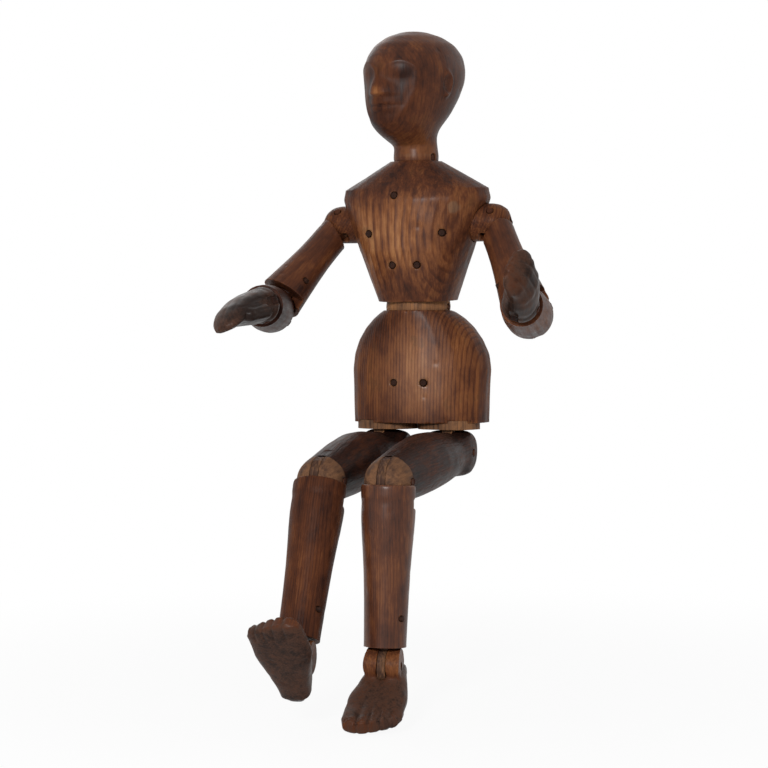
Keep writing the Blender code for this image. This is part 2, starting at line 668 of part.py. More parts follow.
def make_upper_arm(name, frame, s):
    """From the shoulder pin down to the elbow, whose ball turns in its lower end."""
    end = ELBOW_LIP - UPPER_ARM
    stations = [(0, UPPER_ARM_TOP_RADIUS), (0.45 * end, UPPER_ARM_MID_RADIUS), (end, UPPER_ARM_END_RADIUS)]
    arm = solid("upper_arm_" + name, turned(eased(stations, 4)), frame, STAINED_PINE)
    wide = UPPER_ARM_END_RADIUS + OVERSHOOT
    slope = (ARM_INNER_DROP - ARM_OUTER_DROP) / (2 * UPPER_ARM_TOP_RADIUS)
    middle = -(ARM_INNER_DROP + ARM_OUTER_DROP) / 2
    slant = s * slope * wide
    above = [(-wide, middle - slant), (wide, middle + slant), (wide, wide), (-wide, wide)]
    elbow = ELBOW_BALL + TURN_GAP - UPPER_ARM
    rise = wide * tan(radians(ELBOW_FRONT_SLOPE))
    back = ELBOW_FRONT_REACH
    bend_room = [(back, -UPPER_ARM), (back, elbow), (0, elbow), (-wide, elbow + rise), (-wide, -UPPER_ARM)]
    drum = placed(bore(SHOULDER_BALL, 0, SHOULDER_DRUM_LENGTH, LIMB_SIDES), (0, 0, 0), "-X" if s > 0 else "X")
    cut(arm, plate(above, 2 * wide, "Y"), cup(SHOULDER_BALL, (0, 0, 0)), drum)
    root = -SHOULDER_BALL - 2 * OVERSHOOT
    join(arm, tongue(SHOULDER_TONGUE, SHOULDER_DISC, SHOULDER_TONGUE_HALF, root, "Y"))
    cut(arm, pin_hole(SHOULDER_TONGUE, axis="Y"), cup(ELBOW_BALL, (0, 0, -UPPER_ARM)),
        plate(bend_room, 2 * wide),
        bore(ELBOW_DOWEL_RADIUS, -UPPER_ARM, elbow + ELBOW_DOWEL_LENGTH + TURN_GAP))
    y = -ELBOW_DOWEL_RADIUS
    height = ELBOW_PEG_RISE - UPPER_ARM
    head = -s * (side_of(stations, height, y) + NUB)
    run = (SMALL_PEG_RADIUS, (0, y, height), head, s * PEG_PAST_AXIS, "X")
    cut(arm, peg_hole(*run))
    peg("elbow_peg_" + name, frame, *run)


def make_elbow(name, frame):
    start = ELBOW_BALL + TURN_GAP
    spigot("elbow_spigot_" + name, frame, ELBOW_TONGUE, ELBOW_BALL - DISC_RECESS, ELBOW_DOWEL_RADIUS,
           start, start + ELBOW_DOWEL_LENGTH, ELBOW_PEG_RISE, SMALL_PEG_RADIUS)


def make_forearm(name, frame, s):
    """From the elbow's ball to the wrist, whose ball turns in its far end."""
    end = WRIST_LIP - FOREARM
    stations = [(0, ELBOW_BALL), (0.5 * end, FOREARM_MID_RADIUS), (end, FOREARM_END_RADIUS)]
    profile = dome(0, ELBOW_BALL, 1)[:-1] + eased(stations, 3)
    forearm = solid("forearm_" + name, turned(profile), frame, STAINED_PINE)
    reach = ELBOW_BALL + OVERSHOOT
    wrist = WRIST_BALL + TURN_GAP - FOREARM
    cut(forearm, slot(ELBOW_TONGUE, DISC_RECESS - ELBOW_BALL - TURN_GAP, reach, reach), pin_hole(reach),
        cup(WRIST_BALL, (0, 0, -FOREARM)),
        bore(WRIST_DOWEL_RADIUS, -FOREARM, wrist + WRIST_DOWEL_LENGTH + TURN_GAP))
    y = -WRIST_DOWEL_RADIUS
    height = WRIST_PEG_RISE - FOREARM
    head = s * (side_of(stations, height, y) - PEG_RECESS)
    run = (SMALL_PEG_RADIUS, (0, y, height), head, -s * PEG_PAST_AXIS, "X")
    cut(forearm, peg_hole(*run))
    peg("wrist_peg_" + name, frame, *run)
    pin("elbow_pin_" + name, frame, ELBOW_BALL - PEG_RECESS)


def make_wrist(name, frame):
    start = WRIST_BALL + TURN_GAP
    spigot("wrist_spigot_" + name, frame, WRIST_TONGUE, WRIST_BALL - DISC_RECESS, WRIST_DOWEL_RADIUS,
           start, start + WRIST_DOWEL_LENGTH, WRIST_PEG_RISE, SMALL_PEG_RADIUS)


def make_hand(name, frame, s):
    """Palm towards the body, thumb to the front, fingers bent in over the palm."""
    palm = -s
    rows = (
        (0.00, 0.92, 0.80, 0.00), (0.15, 1.00, 0.92, 0.00), (0.35, 0.92, 1.00, 0.02),
        (0.55, 0.78, 0.97, 0.10), (0.72, 0.62, 0.86, 0.32), (0.86, 0.48, 0.68, 0.66),
        (0.96, 0.30, 0.46, 0.94), (1.00, 0.12, 0.24, 1.00),
    )
    rings = []
    for share, depth, width, curl in rows:
        centre = (palm * curl * FINGER_CURL, 0, -share * HAND_LENGTH)
        rings.append(oval(centre, depth * PALM_HALF_DEPTH, width * PALM_HALF_WIDTH, 2.4, BALL_SIDES))
    hand = solid("hand_" + name, skin(rings), frame, DARK_CARVED)
    tip = THUMB_RADIUS - THUMB_LENGTH
    thumb = [(0, THUMB_RADIUS), (tip, THUMB_RADIUS)] + dome(tip, THUMB_RADIUS, -1)[-2::-1]
    base = (palm * 0.5 * PALM_HALF_DEPTH, -0.80 * PALM_HALF_WIDTH, -0.30 * HAND_LENGTH)
    join(hand, ball(WRIST_BALL, (0, 0, 0)), placed(turned(thumb, DOWEL_SIDES), base))
    reach = WRIST_BALL + OVERSHOOT
    cut(hand, slot(WRIST_TONGUE, DISC_RECESS - WRIST_BALL - TURN_GAP, reach, reach), pin_hole(reach))
    pin("wrist_pin_" + name, frame, WRIST_BALL - PEG_RECESS)


def make_hip(name, frame):
    """Also a collar above the thigh, let into the underside of the pelvis."""
    start = HIP_BALL + TURN_GAP
    piece = spigot("hip_spigot_" + name, frame, HIP_TONGUE, HIP_BALL - DISC_RECESS, HIP_DOWEL_RADIUS,
                   start, HIP_DROP + HIP_DOWEL_LENGTH, HIP_DROP + HIP_PEG_HEIGHT, PEG_RADIUS)
    join(piece, rod(HIP_COLLAR_RADIUS, start, HIP_DROP + HIP_RECESS - TURN_GAP, LIMB_SIDES))


def make_thigh(name, frame):
    """From the hip's pin to the ball at the knee, slotted at both ends."""
    hip_end = [(z, r, 0) for z, r in dome(0, HIP_BALL, 1)[:-1]]
    clear = -HIP_COLLAR_RADIUS - TURN_GAP
    body = eased([(0, HIP_BALL, 0), (clear, HIP_BALL, 0), (-0.50 * THIGH, THIGH_MID_RADIUS, -THIGH_FRONT),
                  (-THIGH, KNEE_BALL, 0)], 3)
    knee_end = [(z, r, 0) for z, r in dome(-THIGH, KNEE_BALL, -1)[-2::-1]]
    rings = []
    for z, r, y in hip_end + body + knee_end:
        rings.append(oval((0, y, z), r, r) if r else [Vector((0, y, z))])
    thigh = solid("thigh_" + name, skin(rings), frame, STAINED_PINE)
    hip = HIP_BALL + OVERSHOOT
    knee = KNEE_BALL + OVERSHOOT
    cut(thigh, slot(HIP_TONGUE, DISC_RECESS - HIP_BALL - TURN_GAP, hip, hip), pin_hole(hip),
        slot(KNEE_TONGUE, -THIGH - knee, KNEE_BALL - DISC_RECESS + TURN_GAP - THIGH, hip),
        pin_hole(knee, (0, 0, -THIGH)))
    pin("hip_pin_" + name, frame, HIP_BALL - PEG_RECESS)
    pin("knee_pin_" + name, frame, KNEE_BALL - PEG_RECESS, "X", (0, 0, -THIGH))


def make_shin(name, frame):
    """A hollow for the ball of the knee, cut away behind, where the knee bends. The lower end is flat."""
    end = ANKLE_BALL + TURN_GAP - SHIN
    stations = [
        (-KNEE_FRONT_LIP, SHIN_TOP_RADIUS), (0.22 * end, SHIN_CALF_RADIUS),
        (0.55 * end, SHIN_MID_RADIUS), (end, SHIN_END_RADIUS),
    ]
    shin = solid("shin_" + name, turned(eased(stations, 3)), frame, STAINED_PINE)
    wide = SHIN_TOP_RADIUS + OVERSHOOT
    knee = -KNEE_BALL - TURN_GAP
    fall = wide * tan(radians(KNEE_BACK_SLOPE))
    bend_room = [(0, knee), (wide, knee - fall), (wide, 0), (0, 0)]
    cut(shin, cup(KNEE_BALL, (0, 0, 0)), plate(bend_room, 2 * wide),
        bore(KNEE_TENON_RADIUS, knee - KNEE_TENON_LENGTH - GLUE_GAP, 0, gap=GLUE_GAP),
        bore(ANKLE_DOWEL_RADIUS, -SHIN, end + ANKLE_DOWEL_LENGTH + TURN_GAP))
    y = -ANKLE_DOWEL_RADIUS
    height = ANKLE_PEG_RISE - SHIN
    run = (SMALL_PEG_RADIUS, (0, y, height), side_of(stations, height, y) + NUB, -PEG_PAST_AXIS, "X")
    cut(shin, peg_hole(*run))
    peg("ankle_peg_" + name, frame, *run)
    tenon("knee_tongue_" + name, frame, KNEE_TONGUE, KNEE_BALL - DISC_RECESS, KNEE_TENON_RADIUS,
          knee, knee - KNEE_TENON_LENGTH)


def make_ankle(name, frame):
    start = ANKLE_BALL + TURN_GAP
    spigot("ankle_spigot_" + name, frame, ANKLE_TONGUE, ANKLE_BALL - DISC_RECESS, ANKLE_DOWEL_RADIUS,
           start, start + ANKLE_DOWEL_LENGTH, ANKLE_PEG_RISE, SMALL_PEG_RADIUS)


def foot_ring(y, half_width, low, high):
    """An upright ring across the foot."""
    middle = (low + high) / 2
    flat = oval((0, 0, 0), half_width, (high - low) / 2, 2.8, BALL_SIDES)
    return [Vector((point.x, y, middle + point.y)) for point in flat]


def make_foot(name, frame):
    """Flat sole, round heel, instep that slopes to the toes, and a barrel across the ankle."""
    sole = -SOLE_DROP
    toe = sole + TOE_THICKNESS
    heel = HEEL_HALF_WIDTH
    ball_of_foot = FOOT_HALF_WIDTH
    rows = (
        (HEEL_REACH, 0.50 * heel, 0.88 * sole, 0.58 * sole),
        (0.80 * HEEL_REACH, 0.90 * heel, sole, 0.30 * sole),
        (0.45 * HEEL_REACH, 1.00 * heel, sole, 0.04 * sole),
        (-0.12 * TOE_REACH, 1.22 * heel, sole, 0.08 * sole),
        (-0.38 * TOE_REACH, 1.50 * heel, sole, 0.28 * sole),
        (-0.64 * TOE_REACH, 0.96 * ball_of_foot, sole, 0.43 * sole),
        (-0.85 * TOE_REACH, ball_of_foot, sole, toe),
        (-0.97 * TOE_REACH, 0.90 * ball_of_foot, sole, 1.06 * toe),
        (-TOE_REACH, 0.66 * ball_of_foot, 0.94 * sole, 1.20 * toe),
    )
    foot = solid("foot_" + name, skin([foot_ring(*row) for row in rows]), frame, DARK_CARVED)
    reach = ANKLE_BALL + OVERSHOOT
    barrel = rod(ANKLE_BALL, -ANKLE_HALF_WIDTH, ANKLE_HALF_WIDTH, LIMB_SIDES)
    join(foot, placed(barrel, (0, 0, 0), "X"))
    cut(foot, slot(ANKLE_TONGUE, DISC_RECESS - ANKLE_BALL - TURN_GAP, reach, reach), pin_hole(reach))
    pin("ankle_pin_" + name, frame, ANKLE_HALF_WIDTH - PEG_RECESS)


def make_arm(name, s, rest, trunk):
    place = (s * SHOULDER_X, 0, SHOULDER_HEIGHT)
    swing = joint("shoulder_swing_" + name, trunk, place, "X", -rest["shoulder_swing"])
    make_shoulder(name, swing, s)
    spread = joint("arm_spread_" + name, swing, (0, 0, 0), "Y", -s * rest["arm_spread"])
    make_upper_arm(name, spread, s)
    turn = joint("elbow_turn_" + name, spread, (0, 0, -UPPER_ARM), "Z", rest["elbow_turn"])
    make_elbow(name, turn)
    bend = joint("elbow_bend_" + name, turn, (0, 0, 0), "X", -rest["elbow_bend"])
    make_forearm(name, bend, s)
    wrist = joint("wrist_turn_" + name, bend, (0, 0, -FOREARM), "Z", rest["wrist_turn"])
    make_wrist(name, wrist)
    make_hand(name, joint("wrist_bend_" + name, wrist, (0, 0, 0), "X", rest["wrist_bend"]), s)


def make_leg(name, s, rest, pelvis):
    place = (s * HIP_X, HIP_Y, -HIP_DROP)
    turn = joint("hip_turn_" + name, pelvis, place, "Z", rest["hip_turn"])
    make_hip(name, turn)
    swing = joint("hip_swing_" + name, turn, (0, 0, 0), "X", -rest["hip_swing"])
    make_thigh(name, swing)
    knee = joint("knee_bend_" + name, swing, (0, 0, -THIGH), "X", rest["knee_bend"])
    make_shin(name, knee)
    ankle = joint("ankle_turn_" + name, knee, (0, 0, -SHIN), "Z", rest["ankle_turn"])
    make_ankle(name, ankle)
    make_foot(name, joint("ankle_bend_" + name, ankle, (0, 0, 0), "X", rest["ankle_bend"]))


def main():
    clear_scene()
    pelvis = joint("pelvis_frame", None, (0, 0, 0))
    make_pelvis(pelvis)
    bend = joint("waist_bend", pelvis, (0, WAIST_Y, WAIST_HEIGHT), "X", WAIST_BEND_REST)
    make_waist(bend)
    chest = joint("waist_turn", bend, (0, 0, -WAIST_HEIGHT), "Z")
    make_chest(chest)
    neck = joint("neck_turn", chest, (0, 0, NECK_HEIGHT), "Z", NECK_TURN_REST)
    make_neck(neck)
    make_head(joint("head_nod", neck, (0, 0, 0), "X"))
    for name, s, rest in (("left", 1, LEFT_REST), ("right", -1, RIGHT_REST)):
        make_arm(name, s, rest, chest)
        make_leg(name, s, rest, pelvis)


main()
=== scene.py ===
import json
from math import cos, pi, radians, sin

import bmesh
import bpy
import numpy as np
from bpy.props import FloatProperty, FloatVectorProperty, IntProperty, PointerProperty
from mathutils import Matrix, Vector
from mathutils.kdtree import KDTree

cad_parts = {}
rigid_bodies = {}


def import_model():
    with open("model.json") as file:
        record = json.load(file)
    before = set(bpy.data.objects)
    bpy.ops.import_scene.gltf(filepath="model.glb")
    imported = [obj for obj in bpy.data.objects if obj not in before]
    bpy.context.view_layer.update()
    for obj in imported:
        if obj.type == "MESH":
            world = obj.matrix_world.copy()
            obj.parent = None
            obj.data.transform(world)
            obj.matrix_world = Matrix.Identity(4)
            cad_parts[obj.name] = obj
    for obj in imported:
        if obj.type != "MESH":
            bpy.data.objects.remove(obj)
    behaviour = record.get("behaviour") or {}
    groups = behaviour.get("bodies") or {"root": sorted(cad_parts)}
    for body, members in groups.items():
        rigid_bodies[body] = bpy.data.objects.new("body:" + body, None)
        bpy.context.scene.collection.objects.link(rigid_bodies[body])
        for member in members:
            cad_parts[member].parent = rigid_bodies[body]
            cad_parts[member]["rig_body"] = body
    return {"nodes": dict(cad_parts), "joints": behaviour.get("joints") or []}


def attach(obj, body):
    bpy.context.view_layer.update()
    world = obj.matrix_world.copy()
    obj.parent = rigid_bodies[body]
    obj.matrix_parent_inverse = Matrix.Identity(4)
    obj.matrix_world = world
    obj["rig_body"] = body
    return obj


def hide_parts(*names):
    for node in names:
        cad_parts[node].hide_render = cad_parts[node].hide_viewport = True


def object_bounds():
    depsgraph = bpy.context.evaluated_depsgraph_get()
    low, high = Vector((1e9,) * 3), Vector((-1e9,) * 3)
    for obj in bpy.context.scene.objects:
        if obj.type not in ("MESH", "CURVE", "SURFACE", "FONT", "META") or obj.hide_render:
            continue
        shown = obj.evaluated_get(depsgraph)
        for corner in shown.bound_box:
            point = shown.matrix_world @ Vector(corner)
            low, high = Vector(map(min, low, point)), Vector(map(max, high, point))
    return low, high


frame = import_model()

bl_info = {
    "name": "Wooden Lay Figure",
    "version": (1, 0, 0),
    "blender": (4, 5, 0),
    "location": "3D View > Sidebar > Lay Figure",
    "description": "Carves and finishes a jointed wooden lay figure round its packed frame",
    "category": "Object",
}

SIDES = (("left", 1), ("right", -1))
JOINTS = {joint["name"]: joint for joint in frame["joints"]}
CAD_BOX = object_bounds()

# How far the hands and feet are bent at rest, in degrees
WRIST_BEND = {"left": -21, "right": 28}
ANKLE_BEND = {"left": 25, "right": -27}


def colour(name, description, default):
    return FloatVectorProperty(name=name, description=description, default=default, size=3,
                               subtype="COLOR", min=0, max=1)


def length(name, description, default):
    return FloatProperty(name=name, description=description, default=default, unit="LENGTH", subtype="DISTANCE",
                         precision=5)


class LayFigureWood(bpy.types.PropertyGroup):
    """Colours and figure of the wood."""

    # The darkest stain and the grime in the pores; mixed into seams and grooves, it is painted shade
    soot: colour("Soot", "Grime in the deepest pores and seams", (0.010, 0.006, 0.005))
    dark_stain: colour("Dark stain", "Stain where it was never rubbed", (0.032, 0.012, 0.008))
    red_stain: colour("Red stain", "The usual red-brown of the stain", (0.090, 0.029, 0.013))
    rubbed_stain: colour("Rubbed stain", "Orange wood where the stain is rubbed thin", (0.210, 0.076, 0.027))
    bright_wood: colour("Bright wood", "Early wood that shows through the stain", (0.380, 0.170, 0.066))
    bare_grey: colour("Bare grey", "Grey cast of the joints' bare wood", (0.075, 0.040, 0.027))
    bare_tan: colour("Bare tan", "Tan of the joints' bare wood", (0.215, 0.104, 0.052))
    carved_black: colour("Carved black", "Near-black stain of hands and feet", (0.022, 0.012, 0.009))
    carved_brown: colour("Carved brown", "Brown that shows on hands and feet", (0.072, 0.034, 0.022))
    peg_brown: colour("Peg brown", "End grain of the pegs", (0.044, 0.018, 0.011))
    ring_width: length("Ring width", "Growth ring of the coarse wood of chest and arms", 0.0054)
    limb_ring_width: length("Limb ring width", "Growth ring of the finer wood of the other pieces", 0.0019)
    ridge: length("Ridge", "Height of the late wood's ridges on the chest", 0.00030)
    gloss: FloatProperty(name="Wax", description="How far the wax shows where it is rubbed", default=0.45, min=0,
                         max=1, subtype="FACTOR")


class LayFigureShape(bpy.types.PropertyGroup):
    """Fineness of the skins and depth of the carving."""

    trunk_voxel: length("Trunk voxel", "Cell of the trunk's skin", 0.0010)
    limb_voxel: length("Limb voxel", "Cell of the skins of limbs and joints", 0.0008)
    fine_voxel: length("Fine voxel", "Cell of the skins of head, hands, shins and feet", 0.00064)
    facet: length("Facet", "Width of the frame's facets, which the skin smooths away", 0.0050)
    edge_hold: length("Edge hold", "Distance from an edge within which it stays crisp", 0.0022)
    nose: length("Nose", "Height of the nose", 0.0026)
    socket: length("Eye socket", "Depth of the eye sockets", 0.0006)
    rim: length("Rim", "Height of the brows and of the rim round the cheeks", 0.0007)
    mouth: length("Mouth", "Depth of the mouth's line", 0.0009)
    ear: length("Ear", "Height of the ears", 0.0016)
    finger_groove: length("Finger groove", "Depth between the fingers", 0.0004)
    toe_groove: length("Toe groove", "Depth between the toes", 0.0011)
    dent: length("Dent", "Depth of the knocks", 0.00040)
    flush: length("Flush", "How far the tongues' discs are raised in their slots", 0.00070)
    proud: length("Proud", "How far a dowel's end stands out of the frame's", 0.00070)
    seed: IntProperty(name="Seed", description="Where the knocks fall", default=11)


class LayFigureStage(bpy.types.PropertyGroup):
    """Camera and light."""

    target: FloatVectorProperty(name="Target", description="Point that the camera goes round",
                                default=(0, 0, 0.042), subtype="TRANSLATION", unit="LENGTH")
    distance: length("Distance", "From the camera to the target", 1.55)
    azimuth: FloatProperty(name="Azimuth", description="Camera's turn to the figure's left", default=radians(18),
                           subtype="ANGLE")
    elevation: FloatProperty(name="Elevation", description="Camera's height as an angle", default=radians(1),
                             subtype="ANGLE")
    focal: FloatProperty(name="Focal length", description="Focal length in widths of the picture",
                         default=2040 / 768)
    aim: FloatVectorProperty(name="Aim", description="Right and up from the target to the picture's middle",
                             default=(-0.0289, -0.0137), size=2, subtype="XYZ", unit="LENGTH")
    flash: FloatProperty(name="Flash", description="Power of the lamp beside the camera", default=14, unit="POWER")
    room: FloatProperty(name="Room", description="Strength of the even light", default=0.40)
    floor_colour: colour("Floor", "The pale floor", (0.80, 0.80, 0.80))


def wood():
    return bpy.context.scene.lay_figure_wood


def shape():
    return bpy.context.scene.lay_figure_shape


def stage():
    return bpy.context.scene.lay_figure_stage


# Axes of each piece at rest: Z up its length, -Y to its front

def place_of(joint):
    return Vector(JOINTS[joint]["pos_m"])


def axis_of(joint):
    return Vector(JOINTS[joint]["axis"])


def axes(origin, across, along):
    """A frame at an origin from its X and Z directions."""
    z = Vector(along).normalized()
    x = (Vector(across) - Vector(across).dot(z) * z).normalized()
    turn = Matrix((x, z.cross(x), z)).transposed().to_4x4()
    return Matrix.Translation(origin) @ turn


def limb_axes():
    """Axes of every piece by the name of its body."""
    found = {"pelvis": Matrix(), "waist": axes(place_of("waist_bend"), (1, 0, 0), axis_of("waist_turn"))}
    found["chest"] = axes(place_of("waist_turn"), axis_of("waist_bend"), axis_of("waist_turn"))
    found["neck"] = axes(place_of("neck_turn"), axis_of("head_nod"), axis_of("neck_turn"))
    found["head"] = found["neck"]
    for side, s in SIDES:
        shoulder, elbow = place_of("arm_spread_" + side), place_of("elbow_bend_" + side)
        wrist, hip = place_of("wrist_bend_" + side), place_of("hip_swing_" + side)
        knee, ankle = place_of("knee_bend_" + side), place_of("ankle_bend_" + side)
        spread = -s * axis_of("arm_spread_" + side)
        swing = -axis_of("shoulder_swing_" + side)
        elbow_pin = -axis_of("elbow_bend_" + side)
        wrist_pin = axis_of("wrist_bend_" + side)
        ankle_pin = axis_of("ankle_bend_" + side)
        hand_up = Matrix.Rotation(radians(WRIST_BEND[side]), 3, wrist_pin) @ (elbow - wrist)
        foot_up = Matrix.Rotation(radians(ANKLE_BEND[side]), 3, ankle_pin) @ (knee - ankle)
        parts = {
            "shoulder": (shoulder, swing, swing.cross(spread)),
            "upper_arm": (shoulder, spread.cross(shoulder - elbow), shoulder - elbow),
            "elbow": (elbow, elbow_pin, shoulder - elbow),
            "forearm": (elbow, elbow_pin, elbow - wrist),
            "wrist": (wrist, wrist_pin, elbow - wrist),
            "hand": (wrist, wrist_pin, hand_up),
            "hip": (hip, -axis_of("hip_swing_" + side), (0, 0, 1)),
            "thigh": (hip, -axis_of("hip_swing_" + side), hip - knee),
            "shin": (knee, axis_of("knee_bend_" + side), knee - ankle),
            "ankle": (ankle, ankle_pin, knee - ankle),
            "foot": (ankle, ankle_pin, foot_up),
        }
        for part, row in parts.items():
            found[part + "_" + side] = axes(*row)
    return found


AXES = limb_axes()


def dowel_run(node):
    """Both ends and the radius of a pin or peg of the frame."""
    places = np.array([vert.co for vert in frame["nodes"][node].data.vertices])
    middle = places.mean(axis=0)
    axis = np.linalg.svd(places - middle, full_matrices=False)[2][0]
    run = (places - middle) @ axis
    radius = np.linalg.norm(places - middle - np.outer(run, axis), axis=1).max()
    return middle + run.min() * axis, middle + run.max() * axis, radius


DOWELS = {node: dowel_run(node) for node in sorted(frame["nodes"]) if "_pin" in node or "_peg" in node}


# Carving

def bell(values, centre, spread):
    return np.exp(-((values - centre) / spread) ** 2)


def step(values, low, high):
    """0 below low, 1 above high, smooth between. Low may be the larger."""
    t = np.clip((values - low) / (high - low), 0, 1)
    return t * t * (3 - 2 * t)


def waves(points, scale, seed):
    """Slow smooth noise between about -1 and 1, from a few waves in seeded directions."""
    draw = np.random.default_rng(seed)
    total = np.zeros(len(points))
    for _ in range(6):
        direction = draw.normal(size=3) * scale
        total += np.sin(points @ direction + draw.uniform(0, 2 * pi))
    return total / 3


def evaluated_mesh(item):
    return bpy.data.meshes.new_from_object(item.evaluated_get(bpy.context.evaluated_depsgraph_get()))


def placed(name, data):
    """A new object in the scene."""
    item = bpy.data.objects.new(name, data)
    bpy.context.collection.objects.link(item)
    return item


def rows_of(collection, name, width, kind=float):
    """A mesh's values as rows of an array."""
    values = np.empty(len(collection) * width, kind)
    collection.foreach_get(name, values)
    return values.reshape(-1, width)


class Carving:
    """A fine skin over one solid of the frame, carved in the axes of the piece."""

    def __init__(self, node, voxel, held_below=1.0, added=(), facet=None):
        self.node = node
        self.body = frame["nodes"][node]["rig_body"]
        self.matrix = np.array(AXES[self.body])
        self.voxel = voxel
        solid = bmesh.new()
        solid.from_mesh(frame["nodes"][node].data)
        bmesh.ops.remove_doubles(solid, verts=solid.verts, dist=1e-6)
        ridges = self.ridges(solid)
        for rows in added:
            self.loft(solid, rows)
        self.mesh = self.skin(solid)
        world = rows_of(self.mesh.vertices, "co", 3)
        self.lines = rows_of(self.mesh.edges, "vertices", 2, int)
        self.degree = np.bincount(self.lines.ravel(), minlength=len(world))[:, None]
        self.edge = np.full(len(world), 1.0)
        if ridges:
            found = [ridges.find(point) for point in world]
            self.edge = np.array([distance for _, _, distance in found])
            pull = step(self.edge, 1.5 * voxel, 0.9 * voxel)[:, None]
            world = world + pull * (np.array([place for place, _, _ in found]) - world)
        self.points = (world - self.matrix[:3, 3]) @ self.matrix[:3, :3]
        self.edge[self.points[:, 2] > held_below] = 1.0
        self.soften(facet or shape().facet)

    def loft(self, solid, rows):
        """Adds a closed form through rows of points in the piece's axes."""
        rings = [[solid.verts.new(AXES[self.body] @ Vector(point)) for point in row] for row in rows]
        faces = [solid.faces.new(rings[0]), solid.faces.new(rings[-1])]
        for first, last in zip(rings, rings[1:]):
            faces += [solid.faces.new((first[i - 1], first[i], last[i], last[i - 1])) for i in range(len(first))]
        bmesh.ops.recalc_face_normals(solid, faces=faces)

    def ridges(self, solid):
        """The solid's sharp edges as a tree of points."""
        found = []
        for edge in solid.edges:
            if len(edge.link_faces) == 2 and edge.calc_face_angle() > radians(32):
                first, last = (vert.co for vert in edge.verts)
                steps = max(2, int(edge.calc_length() / (self.voxel / 2)))
                found += [first.lerp(last, i / steps) for i in range(steps + 1)]
        if not found:
            return None
        tree = KDTree(len(found))
        for i, point in enumerate(found):
            tree.insert(point, i)
        tree.balance()
        return tree

    def skin(self, solid):
        mesh = bpy.data.meshes.new(self.node + "_solid")
        solid.to_mesh(mesh)
        solid.free()
        item = placed(self.node + "_solid", mesh)
        remesh = item.modifiers.new("skin", "REMESH")
        remesh.mode = "VOXEL"
        remesh.voxel_size = self.voxel
        fine = evaluated_mesh(item)
        bpy.data.objects.remove(item)
        bpy.data.meshes.remove(mesh)
        return fine

    def mean(self, values):
        """Each point's mean of its neighbours' values."""
        first, last = self.lines.T
        count = len(values)
        total = [np.bincount(first, column[last], count) + np.bincount(last, column[first], count)
                 for column in values.T]
        return np.stack(total, axis=1) / self.degree

    def blurred(self, values, rounds, share=0.5):
        for _ in range(rounds):
            values = values + share * (self.mean(values) - values)
        return values

    def soften(self, facet):
        """Smooths the facets away and keeps the edges, with what is lost in girth put back."""
        rounds = int(1.2 * (facet / self.voxel) ** 2)
        share = 0.06 + 0.44 * step(self.edge, 0.6 * self.voxel, shape().edge_hold)[:, None]
        soft = self.blurred(self.points, rounds, share)
        self.points = soft + self.blurred(self.points - soft, rounds // 2, share)

    def ease(self, weight, rounds):
        """Rounds the piece over where the weight is above 0."""
        soft = self.blurred(self.points, rounds, 0.8)
        self.points = self.points + weight[:, None] * (soft - self.points)

    def normals(self):
        """Outward directions in the piece's axes."""
        self.store()
        return rows_of(self.mesh.vertex_normals, "vector", 3) @ self.matrix[:3, :3]

    def raise_by(self, height):
        self.points = self.points + self.normals() * np.asarray(height)[:, None]

    def knocks(self, count, seed):
        """Dents at seeded points."""
        draw = np.random.default_rng(seed)
        total = np.zeros(len(self.points))
        for index in draw.integers(0, len(self.points), count):
            radius = draw.uniform(0.0010, 0.0026)
            depth = draw.uniform(0.3, 1.0) * shape().dent
            away = np.linalg.norm(self.points - self.points[index], axis=1)
            total -= depth * np.exp(-((away / radius) ** 2))
        self.raise_by(total)

    def wear(self, swell, scale, seed, count, place):
        """Uneven faces and knocks. Gives the columns of the points."""
        self.raise_by(swell * waves(self.points, scale, seed))
        self.knocks(count, shape().seed + place)
        return self.points.T

    def hollowness(self):
        """Above 0 in seams and grooves, below 0 on edges and ridges."""
        inward = ((self.mean(self.points) - self.points) * self.normals()).sum(axis=1, keepdims=True)
        return self.blurred(inward / self.voxel, 3)[:, 0]

    def world(self):
        return self.points @ self.matrix[:3, :3].T + self.matrix[:3, 3]

    def store(self):
        self.mesh.vertices.foreach_set("co", self.world().ravel())
        self.mesh.update()

    def round_dowels(self):
        """1 at the ends of the pegs in this piece, less round them and round the pins."""
        world = self.world()
        low, high = world.min(axis=0) - 0.002, world.max(axis=0) + 0.002
        total = np.zeros(len(world))
        for name, (start, end, radius) in DOWELS.items():
            share = 0.2 if "_pin" in name else 0.7
            for place in (start, end):
                if (place > low).all() and (place < high).all():
                    away = np.linalg.norm(world - place, axis=1)
                    total = np.maximum(total, share * bell(away, 0, 1.5 * radius))
        return total

    def attribute(self, name, values):
        kind = "FLOAT" if values.ndim == 1 else "FLOAT_VECTOR"
        made = self.mesh.attributes.new(name, kind, "POINT")
        made.data.foreach_set("value" if values.ndim == 1 else "vector", values.astype(np.float32).ravel())

    def finish(self, slot, ring, tone, bare=0.0, figure=(0.08, 1.0, 1.0), sheen=0.05):
        """Stores the skin with its finish, and puts it in the place of the solid.

        The figure is the share of rings, of streaks and of clouds in the colour.
        """
        hollow = self.hollowness()
        # Painted shade darkens seams and grooves towards soot; round the ends of the dowels the wood is stained dark
        seam_shade_and_dowel_stain = np.maximum(np.clip(2.0 * hollow, 0, 1), self.round_dowels())
        # Edges and ridges are made lighter: partly worn edges, partly a painted highlight
        tone = tone + 0.5 * np.clip(-1.6 * hollow, 0, 0.25)
        self.store()
        plain = np.ones(len(self.points))
        self.attribute("grain", self.points)
        self.attribute("ring", ring)
        self.attribute("figure", np.stack([share * plain for share in figure], axis=1))
        self.attribute("finish", np.stack([tone * plain, np.clip(bare * plain, 0, 1), seam_shade_and_dowel_stain], axis=1))
        self.attribute("sheen", sheen * plain)
        self.mesh.shade_smooth()
        self.mesh.materials.clear()
        self.mesh.materials.append(finish_of(slot))
        item = placed("carved_" + self.node, self.mesh)
        self.mesh.name = item.name
        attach(item, self.body)
        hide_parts(self.node)


